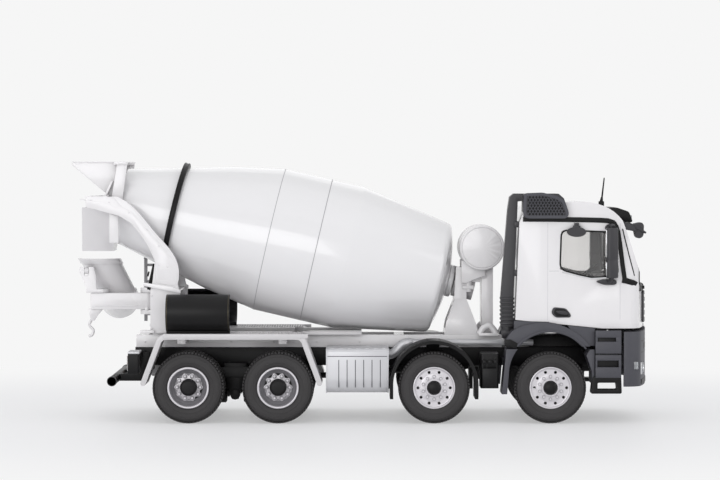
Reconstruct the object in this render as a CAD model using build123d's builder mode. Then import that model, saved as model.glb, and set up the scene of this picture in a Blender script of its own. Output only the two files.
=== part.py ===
from build123d import *

# Concrete mixer truck, a 1:50 die-cast scale model of an 8x4 chassis with a revolving drum.
# Forward is +X, left is +Y, up is +Z. The origin is on the ground, in the middle of the model.
# All sizes are millimetres of the model.
import os
from math import cos, radians, sin, sqrt

# Running clearances
shaft_gap = 0.05
seat_gap = 0.1

# Wheels and axles
tyre_radius = 10.8
axle_z = 10.8
axle_1_x = 57.3
axle_2_x = 22.3
axle_3_x = -24.7
axle_4_x = -51.7
track_half = 25.0
front_tyre_width = 6.4
rear_tyre_width = 5.6
twin_gap = 0.9
bead_radius = 6.3
rim_wall = 0.6
tyre_shoulder = 1.5
axle_pin_radius = 1.0
stub_radius = 1.0
stub_length = 2.4
housing_radius = 2.0

# Steering
kingpin_y = track_half - 7.4
kingpin_radius = 0.6
yoke_half_height = 2.6
yoke_plate = 1.1
yoke_half_length = 1.6
yoke_half_width = 1.3
eye_gap = 0.15
arm_length = 5.0
tie_pin_radius = 0.45
tie_rod_thickness = 0.9

# Chassis rails
rail_y = 8.4
rail_web = 1.0
rail_flange = 2.8
rail_bottom = 16.4
rail_top = 22.0
rail_rear_x = -69.0
rail_front_x = 80.0

# Mixer subframe
subframe_rear_x = -68.7
subframe_front_x = 43.5
subframe_width = 2.4
subframe_height = 3.7

# Rear mudguards
fender_top_z = 26.9
fender_wall = 1.6
fender_rear_x = -60.0
fender_front_x = -17.4
fender_leg_run = 5.2
fender_leg_bottom = 12.2
fender_inner_y = 12.4

# Drum
drum_tilt = 13.0
drum_x = -20.7
drum_z = 53.25
drum_wall = 0.9
drum_radius = 22.4
mouth_radius = 11.4
mouth_t = -55.0
rear_cone_t = -23.0
rear_cone_radius = 19.5
belly_rear_t = -7.4
belly_front_t = 17.6
head_t = 47.0
head_radius = 15.3
head_dish = 2.5
front_cone_t = 45.0
front_cone_radius = 17.4
ring_t = -37.5
ring_radius = 17.3
ring_width = 1.6
flange_radius = 5.0
flange_thickness = 1.2
drum_shaft_radius = 1.6
drum_shaft_length = 4.0
gearbox_radius = 4.4
gearbox_length = 6.5
roller_radius = 2.2
roller_width = 3.0
roller_spread = 35.0
roller_run_gap = 0.25

# Rear drum stand
stand_y = 17.4
stand_plate = 1.8
stand_rear_x = -63.6
stand_front_x = -54.6
stand_flange_z = 38.8
stand_flange_height = 2.9
stand_head_z = 68.4
stand_head_height = 3.4
stand_head_rear_x = -83.4

# Hopper and discharge funnel
hopper_top_z = 79.0
hopper_rear_x = -88.0
hopper_front_x = -74.0
hopper_half_width = 11.0
hopper_floor_z = 68.4
hopper_wall = 0.7
spout_half = 5.2
funnel_rear_x = -85.6
funnel_front_x = -74.3
funnel_top_z = 64.9
funnel_bottom_z = 51.4
funnel_half_width = 12.8
funnel_throat_half = 5.0
funnel_wall = 0.8

# Chute
chute_pivot_x = -66.0
chute_arm_z = 33.3
chute_arm_height = 5.0
chute_arm_width = 4.2
chute_slew_x = -80.6
chute_pin_radius = 0.9
chute_radius = 6.3
chute_wall = 0.7
chute_head_x = -81.3
chute_head_y = 4.2
chute_head_z = 48.9
chute_bend_x = -76.9
chute_bend_y = 9.6
chute_bend_z = 39.0
chute_run = 14.0
chute_slope = 15.0
chute_lip = 0.4
hinge_x = -84.6
hinge_y = -1.9
hinge_z = 45.2
hinge_pin_radius = 0.5
hinge_eye_radius = 0.95
hinge_eye_width = 1.2
slew_pin_radius = 1.0
slew_pin_length = 2.2
turntable_radius = 2.8
turntable_height = 1.1

# Cab
cab_half_width = 23.0
cab_rear_x = 46.8
cab_front_x = 87.3
cab_top_z = 66.5
cab_bottom_z = 28.6
cab_wall = 1.0
front_crown = 70.0
front_corner = 5.0
cab_pivot_x = 86.6
cab_pivot_z = 27.9
cab_pin_radius = 0.5
cab_hinge_y = 8.0
cab_hinge_width = 2.0
glass_wall = 0.5

# Bumper and steps
bumper_front_x = 88.0
bumper_rear_x = 79.4
bumper_top_z = 27.6
bumper_bottom_z = 11.1
bumper_half_width = 24.0
bumper_wall = 1.4
tow_pin_radius = 0.8
step_rear_x = 70.8
step_front_x = 78.6
step_top_z = 28.0
step_outer_y = 24.4

# Wheel arches of the first axle
arch_inner = 12.5
arch_z = 14.7
arch_split_z = 23.2

# Exhaust
pipe_radius = 0.95

# Battery and valve units
valve_rear_x = 36.4
valve_front_x = 41.8
valve_depth = 11.0
valve_bottom_z = 10.5
valve_height = 10.5

# Water tank
tank_x = 37.4
tank_z = 52.5
tank_radius = 6.9
tank_half_length = 10.0

# Derived places
twin_inner_face = track_half - 2 * rear_tyre_width - twin_gap
drum_u = (cos(radians(drum_tilt)), 0, -sin(radians(drum_tilt)))
drum_plane = Plane(origin=(drum_x, 0, drum_z), x_dir=drum_u, z_dir=(0, -1, 0))
drum_axis = Axis((drum_x, 0, drum_z), drum_u)
ends = (-1, 1)


def drum_point(t, r=0.0):
    """Point at t along the drum's axis and r above it, in the middle plane."""
    c = cos(radians(drum_tilt))
    s = sin(radians(drum_tilt))
    return (drum_x + t * c + r * s, 0, drum_z - t * s + r * c)


def drum_cross(t):
    """Plane square to the drum's axis at t, with local x along +Y and local y up the drum."""
    return Plane(origin=drum_point(t), x_dir=(0, 1, 0), z_dir=drum_u)


def wheel_plane(axle_x, y, side):
    """Plane square to a wheel's axle at y, facing away from the truck's middle."""
    return Plane(origin=(axle_x, y, axle_z), x_dir=(1, 0, 0), z_dir=(0, side, 0))


def axle_section(axle_x):
    """Plane through an axle with local x along +Y and local y up."""
    return Plane(origin=(axle_x, 0, axle_z), x_dir=(0, 1, 0), z_dir=(1, 0, 0))


def axle_line(axle_x):
    """The axle's own line."""
    return Axis((axle_x, 0, axle_z), (0, 1, 0))


def side_name(side):
    """Name of a side, where the truck's right is -Y."""
    return "right" if side < 0 else "left"


# Tyres and rims
def add_tyre(axle_x, outer_y, side, width):
    """Add one tyre with its outer face at outer_y, in the part that is being built."""
    face = side * outer_y
    inner = side * (outer_y - width)
    bulge = side * 0.35
    with BuildSketch(axle_section(axle_x)) as section:
        with BuildLine():
            Polyline(
                (face - 2 * bulge, bead_radius),
                (face, bead_radius + 1.6),
                (face, tyre_radius - tyre_shoulder),
            )
            ThreePointArc(
                (face, tyre_radius - tyre_shoulder),
                (face - side * tyre_shoulder * 0.3, tyre_radius - tyre_shoulder * 0.3),
                (face - side * tyre_shoulder, tyre_radius),
            )
            Line((face - side * tyre_shoulder, tyre_radius), (inner + side * tyre_shoulder, tyre_radius))
            ThreePointArc(
                (inner + side * tyre_shoulder, tyre_radius),
                (inner + side * tyre_shoulder * 0.3, tyre_radius - tyre_shoulder * 0.3),
                (inner, tyre_radius - tyre_shoulder),
            )
            Polyline(
                (inner, tyre_radius - tyre_shoulder),
                (inner, bead_radius + 1.6),
                (inner + 2 * bulge, bead_radius),
                (face - 2 * bulge, bead_radius),
            )
        make_face()
    revolve(section.sketch, axis=axle_line(axle_x))


def make_front_tyre(number, axle_x, side):
    """One steered tyre."""
    with BuildPart() as tyre:
        add_tyre(axle_x, track_half, side, front_tyre_width)
    tyre.part.label = f"tyre_{number}_{side_name(side)}"
    export_step(tyre.part, f"parts/tyre_{number}_{side_name(side)}.step")


def make_rear_tyres(number, axle_x):
    """The four tyres of a driven axle."""
    with BuildPart() as tyres:
        for side in ends:
            for outer in (track_half, track_half - rear_tyre_width - twin_gap):
                add_tyre(axle_x, outer, side, rear_tyre_width)
    tyres.part.label = f"twin_tyres_{number}"
    export_step(tyres.part, f"parts/twin_tyres_{number}.step")


def make_front_rim(number, axle_x, side):
    """A steered wheel's rim: a flat disc with holes near its edge, nuts and a domed hub cap."""
    face = track_half
    disc_y = face - 0.9
    disc_in = disc_y - 0.8
    hub_in = face - 4.2
    rim_in = face - front_tyre_width + 0.5
    with BuildPart() as rim:
        with BuildSketch(axle_section(axle_x)):
            with BuildLine():
                Polyline(
                    (side * (hub_in), stub_radius + shaft_gap),
                    (side * (hub_in), 2.4),
                    (side * disc_in, 2.4),
                    (side * disc_in, bead_radius - rim_wall),
                    (side * rim_in, bead_radius - rim_wall),
                    (side * rim_in, bead_radius),
                    (side * (face - 0.3), bead_radius),
                    (side * (face - 0.3), bead_radius - 0.4),
                    (side * disc_y, bead_radius - rim_wall),
                    (side * disc_y, 2.0),
                    (side * (face + 0.3), 2.0),
                    (side * (face + 0.7), 1.3),
                    (side * (face + 0.7), 0),
                    (side * (hub_in + stub_length + 0.2), 0),
                    (side * (hub_in + stub_length + 0.2), stub_radius + shaft_gap),
                    (side * hub_in, stub_radius + shaft_gap),
                )
            make_face()
        revolve(axis=axle_line(axle_x))
        with BuildSketch(wheel_plane(axle_x, side * disc_y, side)):
            with PolarLocations(4.85, 10):
                Circle(0.48)
        extrude(amount=-0.8, mode=Mode.SUBTRACT)
        with BuildSketch(wheel_plane(axle_x, side * disc_y, side)):
            with PolarLocations(3.3, 10, start_angle=18):
                RegularPolygon(0.42, 6)
        extrude(amount=0.5)
    rim.part.label = f"rim_{number}_{side_name(side)}"
    export_step(rim.part, f"parts/rim_{number}_{side_name(side)}.step")


def make_rear_rims(number, axle_x):
    """The twin rims of both sides on the steel pin that carries them."""
    with BuildPart() as rims:
        with BuildSketch(axle_section(axle_x)):
            Rectangle(2 * track_half - 4, 2 * axle_pin_radius)
            Rectangle(2 * track_half, 2 * axle_pin_radius + 2, align=(Align.CENTER, Align.MAX), mode=Mode.SUBTRACT)
        revolve(axis=axle_line(axle_x))
        for side in ends:
            face = track_half
            ring_in = face - rear_tyre_width + 0.5
            inner_face = face - rear_tyre_width - twin_gap
            far_in = inner_face - rear_tyre_width + 0.5
            with BuildSketch(axle_section(axle_x)):
                with BuildLine():
                    Polyline(
                        (side * (face - 0.3), bead_radius),
                        (side * (face - 0.3), bead_radius - 0.7),
                        (side * (face - 2.6), bead_radius - 1.1),
                        (side * (face - 3.4), 4.2),
                        (side * (face - 3.4), 2.6),
                        (side * (face - 0.8), 2.4),
                        (side * (face - 0.4), 1.8),
                        (side * (face - 0.4), 0),
                        (side * (face - 8.0), 0),
                        (side * (face - 8.0), 4.2),
                        (side * far_in, bead_radius - rim_wall),
                        (side * far_in, bead_radius),
                        (side * (inner_face - 0.3), bead_radius),
                        (side * (inner_face - 0.3), 4.6),
                        (side * (ring_in), 4.6),
                        (side * (ring_in), bead_radius),
                        (side * (face - 0.3), bead_radius),
                    )
                make_face()
            revolve(axis=axle_line(axle_x))
            with BuildSketch(wheel_plane(axle_x, side * (face - 3.4), side)):
                with PolarLocations(3.4, 10):
                    Circle(0.62)
            extrude(amount=0.7)
    rims.part.label = f"twin_rims_{number}"
    export_step(rims.part, f"parts/twin_rims_{number}.step")


# Steering
def make_knuckle(number, axle_x, side):
    """A yoke on its kingpin, with the stub axle outward and the steering arm to the rear."""
    mid = side * kingpin_y
    inside = (kingpin_y - yoke_half_width) * side
    outside = (track_half - 4.4) * side
    with BuildPart() as knuckle:
        with BuildSketch(Plane.XY.offset(axle_z - yoke_half_height)):
            with Locations((axle_x, (inside + outside) / 2)):
                Rectangle(2 * yoke_half_length, abs(outside - inside))
        extrude(amount=2 * yoke_half_height)
        slot_half = yoke_half_height - yoke_plate
        with BuildSketch(Plane.XY.offset(axle_z - slot_half)):
            with Locations((axle_x, mid - side * 0.2)):
                Rectangle(2 * yoke_half_length + 1, 2 * yoke_half_width + 0.6)
        extrude(amount=2 * slot_half, mode=Mode.SUBTRACT)
        with BuildSketch(Plane.XY.offset(axle_z - yoke_half_height)):
            with Locations((axle_x, mid)):
                Circle(kingpin_radius)
        extrude(amount=2 * yoke_half_height)
        with BuildSketch(wheel_plane(axle_x, outside, side)):
            Circle(stub_radius)
        extrude(amount=stub_length - 0.2)
        with BuildSketch(Plane.XY.offset(axle_z - yoke_half_height)):
            with Locations((axle_x - arm_length / 2, mid)):
                SlotOverall(arm_length + 1.8, 1.6)
        extrude(amount=yoke_plate)
        with BuildSketch(Plane.XY.offset(axle_z - yoke_half_height - tie_rod_thickness - eye_gap)):
            with Locations((axle_x - arm_length, mid)):
                Circle(tie_pin_radius)
        extrude(amount=tie_rod_thickness + eye_gap)
    knuckle.part.label = f"knuckle_{number}_{side_name(side)}"
    export_step(knuckle.part, f"parts/knuckle_{number}_{side_name(side)}.step")


def make_tie_rod(number, axle_x):
    """The rod that joins a steered axle's two knuckles, behind and below the beam."""
    bottom = axle_z - yoke_half_height - tie_rod_thickness - eye_gap
    with BuildPart() as rod:
        with BuildSketch(Plane.XY.offset(bottom)):
            with Locations((axle_x - arm_length, 0)):
                Rectangle(1.0, 2 * kingpin_y)
            with Locations((axle_x - arm_length, kingpin_y), (axle_x - arm_length, -kingpin_y)):
                Circle(0.95)
                Circle(tie_pin_radius + shaft_gap, mode=Mode.SUBTRACT)
        extrude(amount=tie_rod_thickness)
    rod.part.label = f"tie_rod_{number}"
    export_step(rod.part, f"parts/tie_rod_{number}.step")


def make_front_beams():
    """The steered axles' beams, each with an eye for the kingpin at each end."""
    half = yoke_half_height - yoke_plate - eye_gap
    with BuildPart() as beams:
        for axle_x in (axle_1_x, axle_2_x):
            with BuildSketch(Plane.XY.offset(axle_z - half)):
                with Locations((axle_x, 0)):
                    Rectangle(2.2, 2 * kingpin_y)
                for side in ends:
                    with Locations((axle_x, side * (rail_y + 0.4))):
                        Rectangle(4.4, 3.0)
                    with Locations((axle_x, side * kingpin_y)):
                        Circle(yoke_half_width - eye_gap)
                        Circle(kingpin_radius + shaft_gap, mode=Mode.SUBTRACT)
            extrude(amount=2 * half)
    beams.part.label = "front_axle_beams"
    export_step(beams.part, "parts/front_axle_beams.step")


def add_leaf_pack(centre_x, bottom, half_length, side):
    """Add one arched pack of leaves between its axle seat and the rail above."""
    top = rail_bottom
    rise = top - bottom
    with BuildSketch(Plane.XZ.offset(-side * (rail_y - 1.1))) as leaves:
        with BuildLine():
            Polyline((centre_x + half_length, top), (centre_x + half_length, top - 0.9))
            Line((centre_x + half_length, top - 0.9), (centre_x + 2.2, bottom))
            Line((centre_x + 2.2, bottom), (centre_x - 2.2, bottom))
            Line((centre_x - 2.2, bottom), (centre_x - half_length, top - 0.9))
            Line((centre_x - half_length, top - 0.9), (centre_x - half_length, top))
            Line((centre_x - half_length, top), (centre_x - half_length + 1.2, top))
            ThreePointArc(
                (centre_x - half_length + 1.2, top),
                (centre_x, bottom + 0.55 * rise),
                (centre_x + half_length - 1.2, top),
            )
            Line((centre_x + half_length - 1.2, top), (centre_x + half_length, top))
        make_face()
    extrude(leaves.sketch, amount=-side * 2.2)


def make_rear_axles():
    """The two driven axles' housings, each with a bulged middle, on the bogie's spring packs."""
    tube_radius = housing_radius
    housing_half = twin_inner_face - 0.8
    with BuildPart() as housings:
        for axle_x in (axle_3_x, axle_4_x):
            with BuildSketch(axle_section(axle_x)):
                with BuildLine():
                    Polyline(
                        (-housing_half, axle_pin_radius + shaft_gap),
                        (-housing_half, tube_radius),
                        (-7.0, tube_radius),
                        (-3.2, 4.4),
                        (3.2, 4.4),
                        (7.0, tube_radius),
                        (housing_half, tube_radius),
                        (housing_half, axle_pin_radius + shaft_gap),
                        (-housing_half, axle_pin_radius + shaft_gap),
                    )
                make_face()
            revolve(axis=axle_line(axle_x))
    housings.part.label = "rear_axle_housings"
    export_step(housings.part, "parts/rear_axle_housings.step")


def make_springs():
    """A leaf pack over each end of the steered beams, and one bogie spring on each side at the rear."""
    seat = axle_z + yoke_half_height - yoke_plate - eye_gap
    middle = (axle_3_x + axle_4_x) / 2
    reach = (axle_3_x - axle_4_x) / 2
    low = axle_z + housing_radius + seat_gap
    with BuildPart() as springs:
        for side in ends:
            for axle_x in (axle_1_x, axle_2_x):
                add_leaf_pack(axle_x, seat, 11.0, side)
            with BuildSketch(Plane.XZ.offset(-side * (rail_y + 0.5))):
                with BuildLine():
                    Polyline(
                        (middle - reach - 2.5, low),
                        (middle + reach + 2.5, low),
                        (middle + reach + 2.5, low + 0.8),
                        (middle + 3.5, low + 3.2),
                        (middle - 3.5, low + 3.2),
                        (middle - reach - 2.5, low + 0.8),
                        (middle - reach - 2.5, low),
                    )
                make_face()
            extrude(amount=-side * 2.6)
            with BuildSketch(Plane.XZ.offset(-side * (rail_y - rail_flange))):
                with Locations((middle, (rail_bottom + low - 3.6) / 2)):
                    Rectangle(7.0, rail_bottom - low + 3.6)
            extrude(amount=-side * (rail_flange + 0.5))
    springs.part.label = "leaf_springs"
    export_step(springs.part, "parts/leaf_springs.step")


# Chassis
def make_frame_rails():
    """Two channel rails joined by crossmembers."""
    height = rail_top - rail_bottom
    mid_z = (rail_top + rail_bottom) / 2
    length = rail_front_x - rail_rear_x
    with BuildPart() as rails:
        for side in ends:
            with BuildSketch(Plane.YZ.offset(rail_rear_x)):
                with Locations((side * (rail_y - rail_flange / 2), mid_z)):
                    Rectangle(rail_flange, height)
                with Locations((side * (rail_y - rail_web - rail_flange / 2), mid_z)):
                    Rectangle(rail_flange, height - 2 * rail_web, mode=Mode.SUBTRACT)
            extrude(amount=length)
        for cross_x in (rail_rear_x + 1, -38.2, -8.0, 14.0, 38.0, rail_front_x - 1):
            with BuildSketch(Plane.XY.offset(rail_bottom + rail_web)):
                with Locations((cross_x, 0)):
                    Rectangle(2.0, 2 * (rail_y - rail_web))
            extrude(amount=height - 2 * rail_web)
    rails.part.label = "frame_rails"
    export_step(rails.part, "parts/frame_rails.step")


def make_subframe():
    """The mixer's own frame on the rails, with the outriggers that carry the rear mudguards."""
    length = subframe_front_x - subframe_rear_x
    with BuildPart() as frame:
        for side in ends:
            with BuildSketch(Plane.YZ.offset(subframe_rear_x)):
                with Locations((side * (rail_y - subframe_width / 2), rail_top + subframe_height / 2)):
                    Rectangle(subframe_width, subframe_height)
            extrude(amount=length)
            for out_x in (fender_rear_x + 6, fender_front_x - 6):
                bottom = fender_top_z - fender_wall - 1.6
                with BuildSketch(Plane.XY.offset(bottom)):
                    with Locations((out_x, side * (rail_y + 5.8))):
                        Rectangle(2.4, 11.8)
                extrude(amount=1.6)
        for cross_x in (subframe_rear_x + 2, -40.0, -12.0, 12.0, subframe_front_x - 2):
            with BuildSketch(Plane.XY.offset(rail_top)):
                with Locations((cross_x, 0)):
                    Rectangle(3.0, 2 * rail_y - 1)
            extrude(amount=subframe_height)
    frame.part.label = "mixer_subframe"
    export_step(frame.part, "parts/mixer_subframe.step")


def make_rear_fenders():
    """A bent strip over both driven axles on each side, its two legs sloping down at the ends."""
    top = fender_top_z
    wall = fender_wall
    rear = fender_rear_x
    front = fender_front_x
    with BuildPart() as fenders:
        for side in ends:
            with BuildSketch(Plane.XZ.offset(-side * fender_inner_y)):
                with BuildLine():
                    FilletPolyline(
                        (rear - fender_leg_run, fender_leg_bottom),
                        (rear, top - wall / 2),
                        (front, top - wall / 2),
                        (front + fender_leg_run, fender_leg_bottom),
                        radius=2.5,
                    )
                    offset(amount=wall / 2, side=Side.BOTH)
                make_face()
            extrude(amount=-side * (track_half - fender_inner_y))
            with BuildSketch(Plane.XY.offset(top - wall)):
                with Locations(((rear + front) / 2, side * (rail_y + fender_inner_y) / 2)):
                    Rectangle(front - rear - 6, fender_inner_y - rail_y)
            extrude(amount=wall)
    fenders.part.label = "rear_fenders"
    export_step(fenders.part, "parts/rear_fenders.step")


def make_second_axle_fenders():
    """Half-round mudguards over the second axle, each with a bracket to the rail."""
    inner = 12.3
    outer = 13.3
    rise = 0.9
    low = 7.4
    with BuildPart() as fenders:
        for side in ends:
            with BuildSketch(Plane.XZ.offset(-side * fender_inner_y)):
                with Locations((axle_2_x, axle_z + rise)):
                    Circle(outer)
                with Locations((axle_2_x, (axle_z + rise + low) / 2)):
                    Rectangle(2 * outer, axle_z + rise - low)
                with Locations((axle_2_x, axle_z + rise)):
                    Circle(inner, mode=Mode.SUBTRACT)
                with Locations((axle_2_x, axle_z + rise - 10)):
                    Rectangle(2 * inner, 20, mode=Mode.SUBTRACT)
                with Locations((axle_2_x, low - 10)):
                    Rectangle(4 * outer, 20, mode=Mode.SUBTRACT)
            extrude(amount=-side * (track_half - fender_inner_y))
            with BuildSketch(Plane.XZ.offset(-side * rail_y)):
                with Locations((axle_2_x, rail_top - 0.8)):
                    Rectangle(4.0, 1.4)
            extrude(amount=-side * (fender_inner_y - rail_y + 0.8))
            with BuildSketch(Plane.XZ.offset(-side * fender_inner_y)):
                with Locations((axle_2_x, rail_top + 0.7)):
                    Rectangle(4.0, 4.4)
            extrude(amount=-side * 0.8)
    fenders.part.label = "second_axle_fenders"
    export_step(fenders.part, "parts/second_axle_fenders.step")


def arch_outline(outset):
    """Half-round top of the first axle's arch in X and Z, with its squarer rear shoulder."""
    with BuildLine() as outline:
        Spline(
            (axle_1_x - 13.4 - outset, arch_split_z),
            (axle_1_x - 13.1 - outset, arch_split_z + 2.2),
            (axle_1_x - 11.6 - outset, arch_split_z + 4.5 + outset),
            (axle_1_x - 6.4, arch_split_z + 6.7 + outset),
            (axle_1_x, arch_split_z + 7.1 + outset),
            (axle_1_x + 7.5 + outset, arch_split_z + 4.3 + outset),
            (axle_1_x + 10.7 + outset, arch_split_z + 1.6 + outset),
            (axle_1_x + 12.0 + outset, arch_split_z),
        )
        Line((axle_1_x + 12.0 + outset, arch_split_z), (axle_1_x - 13.4 - outset, arch_split_z))
    make_face(outline.edges())


def make_cab_fender_lower():
    """The wheel-arch ends that stay on the chassis, behind and ahead of the first axle."""
    inner = fender_inner_y + 1.0
    outer = track_half - 1.2
    rear = axle_1_x - arch_inner
    front = axle_1_x + arch_inner
    with BuildPart() as lower:
        for side in ends:
            with BuildSketch(Plane.XZ.offset(-side * inner)):
                with BuildLine():
                    Line((rear - 0.5, 8.8), (rear, arch_z))
                    ThreePointArc(
                        (rear, arch_z),
                        (axle_1_x - arch_inner * cos(radians(20)), arch_z + arch_inner * sin(radians(20))),
                        (axle_1_x - arch_inner * cos(radians(38)), arch_z + arch_inner * sin(radians(38))),
                    )
                    Polyline(
                        (axle_1_x - arch_inner * cos(radians(38)), arch_z + arch_inner * sin(radians(38))),
                        (rear - 0.7, arch_z + arch_inner * sin(radians(38))),
                        (rear - 2.1, 8.8),
                        (rear - 0.5, 8.8),
                    )
                make_face()
                with BuildLine():
                    Polyline(
                        (front, arch_z - 2.8),
                        (front, arch_z + 1.0),
                        (front - 1.6, arch_z + 5.8),
                        (front - 0.6, arch_z + 7.6),
                        (front + 0.8, arch_z + 7.6),
                        (front + 0.8, arch_z - 2.8),
                        (front, arch_z - 2.8),
                    )
                make_face()
            extrude(amount=-side * (outer - inner))
            with BuildSketch(Plane.XZ.offset(-side * rail_y)):
                with Locations((rear - 0.9, rail_bottom + 1.5), (front + 0.4, rail_bottom + 1.5)):
                    Rectangle(0.8, 2.0)
            extrude(amount=-side * (inner - rail_y))
    lower.part.label = "cab_fender_lower"
    export_step(lower.part, "parts/cab_fender_lower.step")


def make_cab_fender_upper():
    """The wheel-arch tops that tilt with the cab."""
    with BuildPart() as upper:
        for side in ends:
            with BuildSketch(Plane.XZ.offset(-side * (fender_inner_y + 1.0))):
                arch_outline(0)
                with Locations((axle_1_x, arch_z)):
                    Circle(arch_inner + 0.2, mode=Mode.SUBTRACT)
            extrude(amount=-side * (track_half - 1.0 - fender_inner_y - 1.0))
            with BuildSketch(Plane.XZ.offset(-side * (cab_half_width - 2.4))):
                Polygon(
                    (axle_1_x + 5.2, cab_bottom_z + 0.95),
                    (step_rear_x - seat_gap, cab_bottom_z + 0.1),
                    (step_rear_x - seat_gap, arch_split_z + 0.2),
                    (axle_1_x + 11.3, arch_split_z + 0.2),
                    (axle_1_x + 6.6, arch_split_z + 3.9),
                    align=None,
                )
            extrude(amount=-side * 2.8)
    upper.part.label = "cab_fender_upper"
    export_step(upper.part, "parts/cab_fender_upper.step")


def make_underrun_guard():
    """The rear guard tube on its two arms."""
    tube_x = -74.7
    tube_z = 12.7
    tube_radius = 1.35
    with BuildPart() as guard:
        with BuildSketch(Plane.XZ.offset(-24.0)):
            with Locations((tube_x, tube_z)):
                Circle(tube_radius)
        extrude(amount=48.0)
        for side in ends:
            with BuildSketch(Plane.XZ.offset(-side * (rail_y + 0.0))):
                with BuildLine():
                    Polyline(
                        (tube_x, tube_z + 1.0),
                        (tube_x, tube_z - 1.0),
                        (rail_rear_x + 2.0, tube_z - 1.0),
                        (rail_rear_x + 4.5, tube_z + 1.4),
                        (rail_rear_x + 4.5, rail_top - 1.5),
                        (rail_rear_x + 0.5, rail_top - 1.5),
                        (rail_rear_x + 0.5, tube_z + 1.8),
                        (tube_x, tube_z + 1.0),
                    )
                make_face()
            extrude(amount=-side * 1.4)
    guard.part.label = "rear_underrun_guard"
    export_step(guard.part, "parts/rear_underrun_guard.step")


def make_tail_lamps():
    """Two lamp boxes, each on an arm from the end of the rail."""
    with BuildPart() as lamps:
        for side in ends:
            with BuildSketch(Plane.XY.offset(15.0)):
                with Locations((-68.3, side * 19.0)):
                    RectangleRounded(3.4, 8.0, 0.5)
            extrude(amount=6.0)
            with BuildSketch(Plane.XY.offset(rail_top - 2.6)):
                with Locations((-67.6, side * (rail_y + 1.4 + 3.4))):
                    Rectangle(2.0, 6.8)
            extrude(amount=1.6)
    lamps.part.label = "tail_lamps"
    export_step(lamps.part, "parts/tail_lamps.step")


def make_exhaust_box():
    """The ribbed silencer on the right side."""
    rear = -10.0
    front = 8.4
    low = 9.2
    high = 22.6
    inner = -(rail_y + 1.0)
    with BuildPart() as box:
        with BuildSketch(Plane.YZ.offset(rear)):
            with BuildLine():
                Polyline(
                    (inner, high),
                    (-23.0, high),
                    (-24.0, high - 1.0),
                    (-24.0, low + 3.6),
                    (-21.2, low),
                    (inner - 2.5, low),
                    (inner, low + 2.5),
                    (inner, high),
                )
            make_face()
        extrude(amount=front - rear)
        for index in range(6):
            x = rear + 3.6 + index * 2.5
            with BuildSketch(Plane.XZ.offset(24.0)):
                with Locations((x, 14.4)):
                    Rectangle(0.7, 8.4)
            extrude(amount=-0.5, mode=Mode.SUBTRACT)
        with BuildSketch(Plane.XZ.offset(24.0)):
            with Locations(((rear + front) / 2, 20.3)):
                Rectangle(front - rear, 0.5)
        extrude(amount=-0.4, mode=Mode.SUBTRACT)
        for hanger_x in (rear + 3, front - 3):
            with BuildSketch(Plane.XZ.offset(rail_y)):
                with Locations((hanger_x, 19.0)):
                    Rectangle(2.0, 3.0)
            extrude(amount=1.0)
    box.part.label = "exhaust_box"
    export_step(box.part, "parts/exhaust_box.step")


def make_exhaust_pipe():
    """The pipe from the silencer up its elbow and forward beside the subframe."""
    start = 8.4
    y = -(rail_y + pipe_radius + 1.6)
    path_z = rail_top + 1.6
    with BuildPart() as pipe:
        with BuildLine():
            FilletPolyline(
                (start, y, 20.2),
                (start + 2.4, y, 20.2),
                (start + 5.2, y, path_z),
                (53.0, y, path_z),
                radius=2.0,
            )
        with BuildSketch(Plane.YZ.offset(start)):
            with Locations((y, 20.2)):
                Circle(pipe_radius)
        sweep()
    pipe.part.label = "exhaust_pipe"
    export_step(pipe.part, "parts/exhaust_pipe.step")


def make_fuel_tank():
    """The tank on the left side, a rounded box on two straps' brackets."""
    rear = -10.0
    front = 8.4
    with BuildPart() as tank:
        with BuildSketch(Plane.YZ.offset(rear)):
            with Locations((rail_y + 1.0 + 7.3, 15.4)):
                RectangleRounded(14.6, 12.8, 2.4)
        extrude(amount=front - rear)
        for hanger_x in (rear + 3, front - 3):
            with BuildSketch(Plane.XZ.offset(-rail_y)):
                with Locations((hanger_x, 18.0)):
                    Rectangle(2.0, 2.0)
            extrude(amount=-1.0)
        with BuildSketch(Plane.XY.offset(21.8)):
            with Locations((front - 3.5, rail_y + 11.0)):
                Circle(1.3)
        extrude(amount=0.8)
    tank.part.label = "fuel_tank"
    export_step(tank.part, "parts/fuel_tank.step")


def make_valve_unit():
    """The battery box and air reservoirs between the first two axles."""
    rear = valve_rear_x
    front = valve_front_x
    middle = (rear + front) / 2
    face = track_half - 2.1
    inner = face - valve_depth
    reservoir_gap = (front - rear - 2.2) / 2
    with BuildPart() as unit:
        for side in ends:
            with BuildSketch(Plane.XY.offset(valve_bottom_z)):
                with Locations((middle, side * (face + inner) / 2)):
                    RectangleRounded(front - rear, valve_depth, 0.7)
            extrude(amount=valve_height)
            with BuildSketch(Plane.XY.offset(rail_bottom + 1.0)):
                with Locations((middle, side * (rail_y + inner + 0.5) / 2)):
                    Rectangle(3.0, inner + 0.5 - rail_y)
            extrude(amount=2.6)
            with BuildSketch(Plane.XZ.offset(-side * face)):
                with Locations((middle, valve_bottom_z + valve_height - 2.6)):
                    with GridLocations(reservoir_gap, 1, 3, 1):
                        Circle(0.6)
            extrude(amount=-side * 0.7)
    unit.part.label = "battery_valve_units"
    export_step(unit.part, "parts/battery_valve_units.step")


def make_engine_block():
    """The engine, a plain block between the rails under the cab's tunnel."""
    inside = rail_y - rail_flange
    with BuildPart() as engine:
        with BuildSketch(Plane.XY.offset(rail_bottom - 2.0)):
            with Locations((62.0, 0)):
                Rectangle(20.0, 2 * inside)
        extrude(amount=11.0)
    engine.part.label = "engine_block"
    export_step(engine.part, "parts/engine_block.step")


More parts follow.
